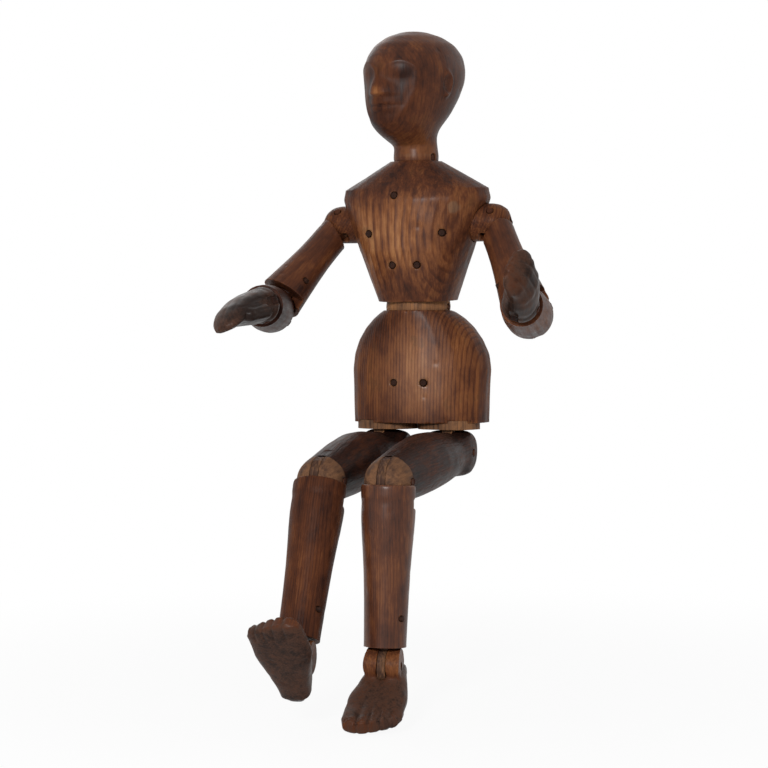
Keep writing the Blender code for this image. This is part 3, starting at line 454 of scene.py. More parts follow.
def wander(points):
    """How far the growth rings stray from true circles."""
    return 0.0011 * waves(points, 55, 5) + 0.0004 * waves(points, 150, 6)


def rings_round(points, pith, lean, width, stray=1.0):
    """How many growth rings lie between a point and the pith, whose line leans as it rises."""
    middle = np.array(pith) + points[:, 2:] * np.array(lean)
    away = points[:, :2] - middle
    return (np.linalg.norm(away, axis=1) + stray * wander(points)) / width


def rings_about(points, middle, direction, width):
    """How many growth rings lie between a point and a pith that runs through the block at a slant."""
    along = np.array(direction) / np.linalg.norm(direction)
    away = points - np.array(middle)
    away = away - np.outer(away @ along, along)
    return (np.linalg.norm(away, axis=1) + wander(points)) / width


def late_wood(ring):
    """1 on a ring's dense late wood, 0 on the soft early wood."""
    part = ring % 1
    return step(part, 0.45, 0.80) * step(part, 0.99, 0.86)


# Materials

WHITE = (1, 1, 1, 1)


class Wire:
    """A socket that can stand in a sum."""

    def __init__(self, nodes, socket):
        self.nodes = nodes
        self.socket = socket

    def maths(self, operation, *values, clamp=False):
        return self.nodes.node("ShaderNodeMath", {"operation": operation, "use_clamp": clamp}, *values)

    def __add__(self, other):
        return self.maths("ADD", self, other)

    def __sub__(self, other):
        return self.maths("SUBTRACT", self, other)

    def __rsub__(self, other):
        return self.maths("SUBTRACT", other, self)

    def __mul__(self, other):
        return self.maths("MULTIPLY", self, other)

    def __mod__(self, other):
        return self.maths("FLOORED_MODULO", self, other)

    def __rmod__(self, other):
        return self.maths("FLOORED_MODULO", other, self)

    __radd__ = __add__
    __rmul__ = __mul__

    def clamped(self):
        return self.maths("ADD", self, 0, clamp=True)


class Nodes:
    """A node tree under construction."""

    def __init__(self, tree):
        self.tree = tree

    def link(self, socket, value):
        if isinstance(value, Wire):
            self.tree.links.new(value.socket, socket)
        else:
            socket.default_value = value

    def node(self, kind, settings, *values, out=0, **named):
        """A node from its settings, then its sockets in order, by name or by identifier. Gives one of its outputs."""
        made = self.tree.nodes.new(kind)
        for name, value in settings.items():
            if name == "stops":
                self.stops(made.color_ramp, value)
            else:
                setattr(made, name, value)
        for socket, value in zip(made.inputs, values):
            self.link(socket, value)
        by_identifier = {socket.identifier: socket for socket in made.inputs}
        for name, value in named.items():
            self.link(made.inputs.get(name) or by_identifier[name], value)
        return Wire(self, made.outputs[out])

    def outputs(self, kind, *values):
        """All the outputs of a node by name."""
        made = self.node(kind, {}, *values).socket.node
        return {output.name: Wire(self, output) for output in made.outputs}

    def stops(self, ramp, rows):
        while len(ramp.elements) < len(rows):
            ramp.elements.new(0.5)
        for element, (position, tint) in zip(ramp.elements, rows):
            element.position = position
            element.color = (*tint, 1)

    def attribute(self, name, out="Vector"):
        return self.node("ShaderNodeAttribute", {"attribute_name": name}, out=out)

    def parts(self, vector):
        return self.outputs("ShaderNodeSeparateXYZ", vector).values()

    def stretched(self, vector, across, along):
        scale = (across, across, along)
        return self.node("ShaderNodeVectorMath", {"operation": "MULTIPLY"}, vector, scale)

    def noise(self, vector, detail, roughness=0.55):
        return self.node("ShaderNodeTexNoise", {}, Vector=vector, Scale=1.0, Detail=detail, Roughness=roughness)

    def ramp(self, value, *rows):
        return self.node("ShaderNodeValToRGB", {"stops": rows}, value)

    def smooth(self, value, low, high):
        settings = {"interpolation_type": "SMOOTHSTEP"}
        return self.node("ShaderNodeMapRange", settings, value, low, high, 0.0, 1.0)

    def mix(self, share, first, second):
        settings = {"data_type": "RGBA"}
        return self.node("ShaderNodeMix", settings, share, A_Color=first, B_Color=second, out=2)

    def sees_background(self):
        """1 for a ray that shows the background: straight, mirrored or through glass."""
        rays = self.outputs("ShaderNodeLightPath")
        return (rays["Is Camera Ray"] + rays["Is Glossy Ray"] + rays["Is Transmission Ray"]).clamped()


class Finish(Nodes):
    """A material under construction."""

    def __init__(self, name):
        self.material = bpy.data.materials.new(name)
        self.material.use_nodes = True
        super().__init__(self.material.node_tree)
        self.shader = self.tree.nodes["Principled BSDF"]

    def set(self, name, value):
        self.link(self.shader.inputs[name], value)


def tint(value):
    return (*value, 1)


# Each wood's name, its stains from dark to bright, its roughness and the depth of its grain
WOODS = {
    "stained_pine": ("waxed_stain", ("soot", "dark_stain", "red_stain", "rubbed_stain", "bright_wood"), 0.44, 0.00050),
    "bare_pine": ("bare_joint_wood", ("soot", "dark_stain", "bare_grey", "bare_tan", "bright_wood"), 0.55, 0.00040),
    "dark_carved": ("black_stain", ("soot", "carved_black", "carved_brown", "red_stain", "rubbed_stain"), 0.40,
                    0.00028),
}


def grained_wood(name, stains, rough, grain_depth):
    """Old stained softwood, rubbed bare in places."""
    made = Finish(name)
    grain = made.attribute("grain")
    ring = made.attribute("ring", "Fac")
    tone, bared, seam_shade_and_dowel_stain = made.parts(made.attribute("finish"))
    rings, streaks, clouds = made.parts(made.attribute("figure"))
    fibre = made.noise(made.stretched(grain, 1000, 60), 2.0)
    streak = made.noise(made.stretched(grain, 330, 9), 4.0, 0.6)
    cloud = made.noise(made.stretched(grain, 48, 26), 4.0, 0.6)
    patch = made.noise(made.stretched(grain, 150, 90), 3.0, 0.6)
    part = (ring + 0.22 * streak) % 1.0
    late = made.smooth(part, 0.45, 0.80) * made.smooth(part, 0.99, 0.86)
    mottled = 0.80 * (cloud - 0.5) + 0.45 * (patch - 0.5)
    lined = 0.45 * (streak - 0.5) + 0.40 * (fibre - 0.5)
    level = tone + clouds * mottled + streaks * lined - rings * late
    stops = [(i / (len(stains) - 1), getattr(wood(), stain)) for i, stain in enumerate(stains)]
    stained = made.ramp(level, *stops)
    rubbed = made.ramp(streak + 0.6 * (cloud - 0.5), (0.28, wood().bare_grey), (0.68, wood().bare_tan))
    ragged = made.smooth(bared + 0.5 * (patch - 0.5) + 0.25 * (streak - 0.5), 0.30, 0.62)
    surface = made.mix(ragged, stained, rubbed)
    # Painted shade in seams and grooves, dark stain round the dowels and patchy grime, all drawn towards soot
    grime_and_seam_shade = (seam_shade_and_dowel_stain * 0.85 + 0.40 * made.smooth(patch * cloud, 0.30, 0.42)).clamped()
    made.set("Base Color", made.mix(grime_and_seam_shade, surface, tint(wood().soot)))
    made.set("Roughness", (rough + 0.35 * (streak - 0.5) + 0.12 * ragged + 0.30 * (patch - 0.5)).clamped())
    height = 2.0 * rings * late + streaks * (0.8 * fibre + 0.5 * streak) + 0.35 * patch
    bumped = made.node("ShaderNodeBump", {}, Strength=0.8, Distance=grain_depth, Height=height, out="Normal")
    made.set("Normal", bumped)
    made.set("Specular IOR Level", 0.05)
    made.set("Coat Weight", (made.attribute("sheen", "Fac") * wood().gloss).clamped())
    made.set("Coat Roughness", 0.30)
    return made.material


def peg_wood():
    """End grain with the open pores of a hardwood dowel."""
    made = Finish("peg_end_grain")
    place = made.node("ShaderNodeTexCoord", {}, out="Object")
    pores = made.noise(made.stretched(place, 1400, 1400), 2.0)
    cloud = made.noise(made.stretched(place, 260, 260), 3.0)
    level = 0.6 * pores + 0.5 * cloud
    stained = made.ramp(level, (0.35, wood().soot), (0.70, wood().peg_brown))
    worn = made.ramp(level, (0.30, wood().dark_stain), (0.75, wood().red_stain))
    made.set("Base Color", made.mix(made.attribute("worn", "Fac"), stained, worn))
    made.set("Roughness", 0.55 + 0.25 * cloud)
    made.set("Specular IOR Level", 0.08)
    bumped = made.node("ShaderNodeBump", {}, Strength=0.6, Distance=0.0003, Height=level, out="Normal")
    made.set("Normal", bumped)
    return made.material


MADE = {}


def finish_of(slot):
    """The material of one of the record's slots, made once."""
    if slot not in MADE:
        MADE[slot] = grained_wood(*WOODS[slot]) if slot in WOODS else peg_wood()
    return MADE[slot]


# Pieces

# The open corners of slots, which are filled where no tongue moves: radius of an arc about the hinge pin, its first and
# last degree, the points outside it as depths and heights, and half the width along the pin
CORNERS = {
    "knee": (0.0173, 90, 179, ((-0.0174, 0.0002), (-0.0177, 0.0060), (-0.0182, 0.0120), (-0.0189, 0.0190), (0, 0.0190)),
             0.0040),
    "ankle": (0.0123, -90, -162, ((-0.0121, -0.0038), (-0.0170, -0.0050), (-0.0170, -0.0126), (0, -0.0126)), 0.0038),
    "elbow": (0.0173, -90, -1, ((0.0173, -0.0003), (0.0171, -0.0060), (0.0169, -0.0120), (0.0167, -0.0178),
                                (0, -0.0178)), 0.0045),
    "wrist_front": (0.0130, -90, -171, ((-0.0127, -0.0020), (-0.0127, -0.0070), (-0.0131, -0.0133), (0, -0.0133)),
                    0.0038),
    "wrist_back": (0.0130, -90, -9, ((0.0127, -0.0020), (0.0127, -0.0070), (0.0131, -0.0133), (0, -0.0133)), 0.0038),
}

# The corners of a shoulder drum's slot that the arm never reaches, as distances outwards and heights
DRUM_CORNERS = (
    ((-0.0113, -0.0138), (-0.0078, -0.0138), (-0.0078, -0.0079), (-0.0113, -0.0079)),
    ((-0.0113, 0.0002), (-0.0113, 0.0139), (0, 0.0139), (0.0070, 0.0121), (0.0124, 0.0066), (0.0096, 0.0051),
     (0.0055, 0.0094), (0, 0.0109), (-0.0077, 0.0077), (-0.0109, 0.0002)),
)
DRUM_CORNER_HALF = 0.0048

# The band round a shin's thin rim: inner and outer radius, low and high end, reach to each side of the front
SHIN_LIP = (0.0181, 0.0192, -0.0120, -0.0022, radians(97))


def drawn_out(outline, half, pin="X"):
    """A plug's two ends: an outline of depths and heights, drawn out along the hinge pin."""
    return [[(side, deep, high) if pin == "X" else (deep, side, high) for deep, high in outline]
            for side in (-half, half)]


def corner(name, height=0.0):
    """The plug of a slot's corner, moved up to the height of its pin."""
    radius, first, last, outside, half = CORNERS[name]
    turns = np.radians(np.linspace(first, last, 10))
    arc = [(radius * cos(turn), radius * sin(turn)) for turn in turns]
    return drawn_out([(deep, high + height) for deep, high in (*outside, *arc)], half)


def band(inner, outer, low, high, reach):
    """A band round the front of a rim that is too thin for the skin, as rows of corners."""
    section = ((inner, low), (outer, low), (outer, high), (inner, high))
    return [[(wide * sin(turn), -wide * cos(turn), tall) for wide, tall in section]
            for turn in np.linspace(-reach, reach, 49)]


class CarveTrunk(bpy.types.Operator):
    """Carves the pelvis from straight fine wood and the chest from a coarse-ringed block"""

    bl_idname = "lay_figure.trunk"
    bl_label = "Carve trunk"

    def execute(self, context):
        self.pelvis()
        self.chest()
        return {"FINISHED"}

    def pelvis(self):
        piece = Carving("pelvis", shape().trunk_voxel)
        x, y, z = piece.wear(0.00018, 90, 21, 26, 0)
        ring = rings_round(piece.points, (-0.30, 0.05), (0.03, 0.0), wood().limb_ring_width * 1.25, 0.5)
        front = step(-y, 0.0, 0.03)
        # The middle of the front is lighter and waxier: partly rubbed stain, partly a painted highlight
        rub_and_highlight = front * bell(x, 0.006, 0.022) * bell(z, 0.036, 0.036)
        tone = 0.57 + 0.24 * rub_and_highlight - 0.06 * step(z, 0.055, 0.085) - 0.06 * bell(z, 0.002, 0.006)
        tone -= 0.20 * front * bell(np.hypot(x + 0.028, z - 0.066), 0, 0.013) - 0.08 * front * bell(x, 0.045, 0.012)
        piece.finish("stained_pine", ring, tone, figure=(0.14, 0.75, 0.85), sheen=0.10 + 1.60 * rub_and_highlight)

    def chest(self):
        piece = Carving("chest", shape().trunk_voxel)
        piece.raise_by(0.00015 * waves(piece.points, 90, 22))
        x, y, z = piece.points.T
        ring = rings_about(piece.points, (0.047, -0.030, 0.132), (-0.15, 0.55, 0.80), wood().ring_width)
        clear = step(piece.edge, 0.001, 0.006)
        front = step(-y, 0.010, 0.028) * step(z, 0.186, 0.165)
        # The middle of the front is lighter, waxier and more ridged: partly rubbed stain, partly a painted highlight
        rub_and_highlight = front * bell(x, -0.010, 0.030) * bell(z, 0.140, 0.030)
        ridge = wood().ridge * (0.08 + 0.92 * rub_and_highlight) * clear
        piece.raise_by(ridge * (late_wood(ring) - 0.5))
        piece.knocks(30, shape().seed + 1)
        tone = 0.52 + 0.37 * rub_and_highlight + 0.08 * front * bell(np.abs(x), 0.036, 0.016) - 0.10 * step(z, 0.160, 0.185)
        tone -= 0.22 * front * bell(np.hypot(x - 0.046, z - 0.132), 0, 0.012) + 0.05 * step(z, 0.118, 0.100) * front
        spots = bell(np.hypot(x - 0.037, z - 0.161), 0, 0.0055) + bell(np.hypot(x - 0.049, z - 0.160), 0, 0.0045)
        fine = 0.10 * front * step(x, 0.005, 0.025) * step(z, 0.125, 0.110)
        figure = (0.03 + 0.24 * rub_and_highlight + fine, 0.9, 1.1)
        piece.finish("stained_pine", ring, tone, 0.8 * spots * front, figure, 0.20 + 0.55 * rub_and_highlight)


class CarveHead(bpy.types.Operator):
    """Carves the egg-shaped head with its worn low face and ears"""

    bl_idname = "lay_figure.head"
    bl_label = "Carve head"

    def execute(self, context):
        piece = Carving("head", shape().fine_voxel, held_below=0.004, facet=1.6 * shape().facet)
        piece.ease(bell(piece.points[:, 2], 0.0185, 0.0065) * step(piece.points[:, 2], 0.006, 0.012), 140)
        piece.raise_by(self.features(piece.points))
        x, y, z = piece.wear(0.00012, 120, 31, 14, 2)
        ring = rings_round(piece.points, (0.012, 0.030), (0.05, 0.0), wood().limb_ring_width * 1.3)
        nose = bell(x, 0, 0.005) * bell(z, 0.0485, 0.004) * step(-y, 0.030, 0.045)
        face = step(-y, 0.015, 0.040) * step(z, 0.075, 0.060)
        tone = 0.48 - 0.11 * face + 0.35 * nose + 0.08 * bell(z, 0.006, 0.009)
        rim = 0.4 * bell(z, 0.0015, 0.003)
        piece.finish("stained_pine", ring, tone, rim, figure=(0.05, 0.45, 1.1), sheen=0.38 - 0.34 * face)
        return {"FINISHED"}

    def features(self, points):
        """Height of the face and ears over the plain head."""
        x, y, z = points.T
        form = shape()
        turn = np.arctan2(x, -y)
        wide = np.abs(turn)
        nose_width = 0.09 + 0.13 * step(z, 0.060, 0.048)
        nose = form.nose * bell(turn, 0, nose_width) * step(z, 0.072, 0.050) * step(z, 0.0438, 0.0470)
        socket = -form.socket * bell(wide, 0.30, 0.20) * bell(z, 0.0610, 0.0062)
        lid = 0.45 * form.socket * bell(wide, 0.42, 0.12) * bell(z, 0.0606, 0.0030)
        lid_line = -0.15 * form.socket * bell(wide, 0.42, 0.13) * bell(z, 0.0575, 0.0012)
        brow_height = 0.0702 - 0.0075 * ((wide - 0.40) / 0.37) ** 2
        brow = form.rim * bell(z, brow_height, 0.0021) * step(wide, 0.0, 0.14) * step(wide, 0.82, 0.66)
        edge = np.interp(z, (0.022, 0.0254, 0.0376, 0.050, 0.062, 0.068), (0.20, 0.25, 0.54, 0.72, 0.76, 0.72))
        cheek = form.rim * bell(wide, edge, 0.085) * step(z, 0.070, 0.060) * step(z, 0.022, 0.034)
        mask = 0.3 * form.rim * step(wide, edge + 0.20, edge - 0.20) * step(z, 0.072, 0.056) * step(z, 0.016, 0.032)
        lips = 0.0005 * bell(turn, 0, 0.20) * (bell(z, 0.0402, 0.0016) + bell(z, 0.0352, 0.0020))
        mouth = -form.mouth * bell(turn, 0, 0.24) * bell(z, 0.0378, 0.0009)
        chin = 0.0009 * bell(turn, 0, 0.24) * bell(z, 0.0262, 0.0050)
        under_lip = -0.0006 * bell(turn, 0, 0.22) * bell(z, 0.0318, 0.0019)
        face = nose + socket + lid + lid_line + brow + cheek + mask + lips + mouth + chin + under_lip
        return face + self.ears(wide, z)

    def ears(self, wide, z):
        around = (wide - 1.47) / 0.16
        up = (z - 0.0535) / 0.0088
        away = np.hypot(around, up)
        rim = bell(away, 0.88, 0.26) * step(around, -1.0, 0.1)
        lobe = 0.8 * bell(around, -0.15, 0.45) * bell(up, -0.85, 0.30)
        hollow = -0.55 * bell(away, 0.25, 0.42)
        return shape().ear * (rim + lobe + hollow)


class TurnArms(bpy.types.Operator):
    """Carves the upper arms and the forearms"""

    bl_idname = "lay_figure.arms"
    bl_label = "Carve arms"

    def execute(self, context):
        for side, s in SIDES:
            self.upper_arm(side, s)
            self.forearm(side, s)
        return {"FINISHED"}

    def upper_arm(self, side, s):
        piece = Carving("upper_arm_" + side, shape().limb_voxel)
        z = piece.wear(0.00015, 110, 41, 10, 3)[2]
        ring = rings_round(piece.points, (s * 0.030, 0.020), (0.05, 0.02), wood().ring_width * 0.8)
        tone = 0.44 + 0.08 * bell(z, -0.045, 0.025)
        bare = 0.5 * step(z, -0.016, -0.006)
        piece.finish("stained_pine", ring, tone, bare, figure=(0.05, 0.6, 0.9), sheen=0.25)

    def forearm(self, side, s):
        piece = Carving("forearm_" + side, shape().limb_voxel, added=[corner("elbow")])
        z = piece.wear(0.00012, 110, 42, 10, 4)[2]
        ring = rings_round(piece.points, (0.030, s * 0.018), (0.02, 0.03), wood().ring_width * 0.7)
        tone = 0.46 if side == "left" else 0.34 - 0.06 * step(z, -0.030, -0.068)
        piece.finish("stained_pine", ring, tone, figure=(0.05, 0.6, 0.9), sheen=0.04)


# How blunt each hand's tips are, how deep its fingers are cut, its tone and its sheen
HANDS = {"left": (0.65, 1.0, 0.38, 0.04), "right": (0.15, 0.3, 0.30, 0.20)}


class CarveHands(bpy.types.Operator):
    """Carves the fingers and thumbs of both hands"""

    bl_idname = "lay_figure.hands"
    bl_label = "Carve hands"

    def execute(self, context):
        for side, s in SIDES:
            corners = [corner("wrist_front"), corner("wrist_back")]
            piece = Carving("hand_" + side, shape().fine_voxel, added=corners)
            blunt, cut, dark, sheen = HANDS[side]
            tips = np.minimum(piece.points[:, 2] + 0.044, 0)
            piece.points[:, 1] *= 1 + blunt * step(piece.points[:, 2], -0.030, -0.055)
            piece.points[:, 2] -= 0.5 * blunt * tips
            piece.raise_by(cut * self.fingers(piece.points, s))
            z = piece.wear(0.00012, 160, 51, 10, 5)[2]
            ring = rings_round(piece.points, (0.02, 0.03), (0.0, 0.1), wood().limb_ring_width)
            tone = dark + 0.10 * step(z, -0.040, -0.054)
            piece.finish("dark_carved", ring, tone, figure=(0.03, 0.5, 1.2), sheen=sheen)
        return {"FINISHED"}

    def fingers(self, points, s):
        """Shallow grooves between the fingers, a deeper line round the thumb, knuckles and the palm's crease."""
        x, y, z = points.T
        back = s * x
        across = y / np.interp(-z, (0.020, 0.041, 0.049, 0.055, 0.057), (0.0150, 0.0155, 0.0143, 0.0108, 0.0062))
        from_thumb = np.hypot(back + 0.0060, y + 0.0120)
        thumb = step(from_thumb, 0.0075, 0.0060) * step(z, -0.044, -0.040)
        height = np.zeros(len(x))
        for gap in (-0.50, 0.0, 0.50):
            height -= shape().finger_groove * bell(across, gap, 0.075) * step(z, -0.027, -0.036) * (1 - thumb)
        for middle in (-0.75, -0.25, 0.25, 0.75):
            finger = bell(across, middle, 0.19)
            height += 0.0006 * finger * bell(z, -0.0285, 0.0030) * step(back, 0.0, 0.004)
            height += 0.0003 * finger * bell(z, -0.0420, 0.0022) * step(back, -0.006, 0.0)
        line = bell(from_thumb, 0.0066, 0.0008) * step(z, -0.014, -0.018) * step(z, -0.045, -0.041)
        crease = bell(z, -0.0290, 0.0009) * step(-back, 0.0, 0.004) * (1 - thumb)
        return height - 0.0011 * line - 0.0005 * crease


# Each shin's tone and sheen
SHINS = {"left": (0.48, 0.85), "right": (0.42, 0.0)}

# Radius of the hip's ball in the frame, and half the length of the barrel that it is squared to
HIP_BALL = 0.0172
HIP_BARREL = 0.0174


class TurnLegs(bpy.types.Operator):
    """Carves the thighs with their bare knees, and the shins"""

    bl_idname = "lay_figure.legs"
    bl_label = "Carve legs"

    def execute(self, context):
        for side, s in SIDES:
            self.thigh(side, s)
            self.shin(side)
        return {"FINISHED"}

    def thigh(self, side, s):
        knee = (place_of("hip_swing_" + side) - place_of("knee_bend_" + side)).length
        piece = Carving("thigh_" + side, shape().limb_voxel, added=[corner("knee", -knee)])
        self.round_hip(piece.points, s)
        z = piece.wear(0.00018, 80, 61, 16, 6)[2]
        ring = rings_round(piece.points, (s * 0.034, 0.010), (0.03, 0.02), wood().limb_ring_width * 1.2)
        tone = 0.22 + 0.06 * bell(z, -0.090, 0.030)
        bare = step(z, 0.0045 - knee, -0.0015 - knee)
        piece.finish("stained_pine", ring, tone, bare, sheen=0.02)

    def round_hip(self, points, s):
        """Squares the hip's ball to a barrel along its pin, and fills the thigh's inner side."""
        x, y, z = points.T
        ball = np.sqrt(np.maximum(HIP_BALL ** 2 - x ** 2, 0.005 ** 2))
        barrel = HIP_BALL * np.maximum(1 - (x / HIP_BARREL) ** 4, 0.01) ** 0.25
        off_pin = step(np.hypot(y, z), 0.004, 0.008)
        share = step(z, -0.020, -0.006) * off_pin * (np.clip(barrel / ball, 1, 1.8) - 1)
        inner = s * 0.0040 * step(-s * x, 0.006, 0.015) * bell(z, -0.010, 0.035) * off_pin
        points[:, 0] = x - inner
        points[:, 1] = y * (1 + share)
        points[:, 2] = z * (1 + share * step(z, 0, 0.004))

    def shin(self, side):
        piece = Carving("shin_" + side, shape().fine_voxel, added=[band(*SHIN_LIP)])
        z = piece.wear(0.00012, 90, 71, 18, 7)[2]
        ring = rings_round(piece.points, (-0.30, 0.05), (0.0, 0.0), wood().limb_ring_width * 0.85, 0.3)
        tone, sheen = SHINS[side]
        tone = tone + 0.06 * bell(z, -0.060, 0.040)
        piece.finish("stained_pine", ring, tone, figure=(0.08, 0.8, 0.8), sheen=sheen)


class CarveFeet(bpy.types.Operator):
    """Carves the toes, nails and insteps of both feet"""

    bl_idname = "lay_figure.feet"
    bl_label = "Carve feet"

    def execute(self, context):
        for side, s in SIDES:
            piece = Carving("foot_" + side, shape().fine_voxel, added=[corner("ankle")])
            y, z = piece.points.T[1:]
            piece.ease(bell(np.hypot(y + 0.0140, z + 0.0060), 0, 0.0075), 120)
            piece.raise_by(self.toes(piece.points, s))
            self.slant(piece.points, s)
            y, z = piece.wear(0.00015, 130, 81, 12, 8)[1:]
            ring = rings_round(piece.points, (0.03, 0.0), (0.0, 0.6), wood().limb_ring_width)
            tone = 0.50 + 0.20 * step(y, -0.048, -0.056) + 0.32 * step(z, -0.006, 0.002)
            tone -= 0.08 * step(z, -0.016, -0.020)
            piece.finish("dark_carved", ring, tone, figure=(0.03, 1.1, 0.7), sheen=0.10)
        return {"FINISHED"}

    def slant(self, points, s):
        """Shortens the foot towards the little toe, and swells its sides."""
        across, y = s * points[:, 0], points[:, 1]
        outer = s * 0.0025 * step(across, 0.004, 0.012) * bell(y, -0.012, 0.020)
        outer -= s * 0.0030 * step(-across, 0.004, 0.012) * bell(y, -0.020, 0.020)
        points[:, 1] = y + 0.0090 * step(across, -0.010, 0.019) * step(y, -0.028, -0.054)
        points[:, 0] += outer

    def toes(self, points, s):
        """Low grooves between five toes, the big one on the inner side, with nails and tendons."""
        x, y, z = points.T
        across = s * x
        reach = step(y, -0.040, -0.048)
        top = step(z, -0.0170, -0.0130)
        height = np.zeros(len(x))
        for gap in (-0.0085, -0.0010, 0.0060, 0.0125):
            height -= shape().toe_groove * bell(across, gap, 0.0010) * reach * (0.5 + 0.5 * top)
            height -= 0.0004 * bell(across, 0.85 * gap, 0.0015) * step(y, -0.022, -0.034) * top
        for middle, size in ((-0.0132, 1.25), (-0.0047, 1.0), (0.0025, 0.95), (0.0093, 0.9), (0.0152, 0.8)):
            toe = bell(across, middle, 0.0028 * size)
            height += 0.0006 * toe * bell(y, -0.0520, 0.0030) * top
            nail = np.hypot((across - middle) / (0.0024 * size), (y + 0.0530) / 0.0020)
            height -= 0.0004 * bell(nail, 1.0, 0.25) * top
        return height


# Material slot and tone of each joint's piece
JOINT_FINISH = {
    "waist_ball": ("bare_pine", 0.80),
    "waist_tongue": ("bare_pine", 0.50),
    "neck_spigot": ("bare_pine", 0.50),
    "shoulder_drum": ("stained_pine", 0.48),
    "elbow_spigot": ("stained_pine", 0.36),
    "wrist_spigot": ("bare_pine", 0.16),
    "hip_spigot": ("bare_pine", 0.66),
    "knee_tongue": ("bare_pine", 0.46),
    "ankle_spigot": ("bare_pine", 0.50),
}

# Radius of each tongue's disc in the frame, where it is raised to lie flush in its slot
DISCS = {"elbow_spigot": 0.0165, "wrist_spigot": 0.0122, "knee_tongue": 0.0165, "ankle_spigot": 0.0115}


class CarveJoints(bpy.types.Operator):
    """Smooths the bare tongues, balls and drums of the joints"""

    bl_idname = "lay_figure.joints"
    bl_label = "Carve joints"

    def execute(self, context):
        for name in sorted(frame["nodes"]):
            part = name.removesuffix("_left").removesuffix("_right")
            if part not in JOINT_FINISH:
                continue
            s = 1 if name.endswith("_left") else -1
            corners = DRUM_CORNERS if part == "shoulder_drum" else ()
            plugs = [drawn_out([(s * out, high) for out, high in row], DRUM_CORNER_HALF, "Y") for row in corners]
            piece = Carving(name, shape().limb_voxel, added=plugs)
            if part in DISCS:
                across = np.linalg.norm(piece.points[:, 1:], axis=1)
                rise = shape().flush * bell(across, DISCS[part], 0.0007) / np.maximum(across, 0.001)
                piece.points[:, 1:] *= 1 + rise[:, None]
            if part == "hip_spigot":
                x, z = piece.points[:, 0], piece.points[:, 2]
                piece.points[:, 0] -= s * 0.0062 * step(-s * x, 0.004, 0.014) * step(z, 0.0160, 0.0176)
            piece.raise_by(0.00008 * waves(piece.points, 150, 91))
            ring = rings_round(piece.points, (0.04, 0.02), (0.0, 0.0), wood().limb_ring_width)
            slot, tone = JOINT_FINISH[part]
            piece.finish(slot, ring, tone)
        return {"FINISHED"}


# A dowel's girth along its length, and the pegs that end with the frame's
DOWEL_GIRTH = ((0, 0.86), (0.03, 0.97), (0.07, 1.0), (0.93, 1.0), (0.97, 0.97), (1, 0.86))
EVEN_PEGS = ("elbow_peg", "wrist_peg", "ankle_peg")
DOWEL_UNEVEN = 0.00005


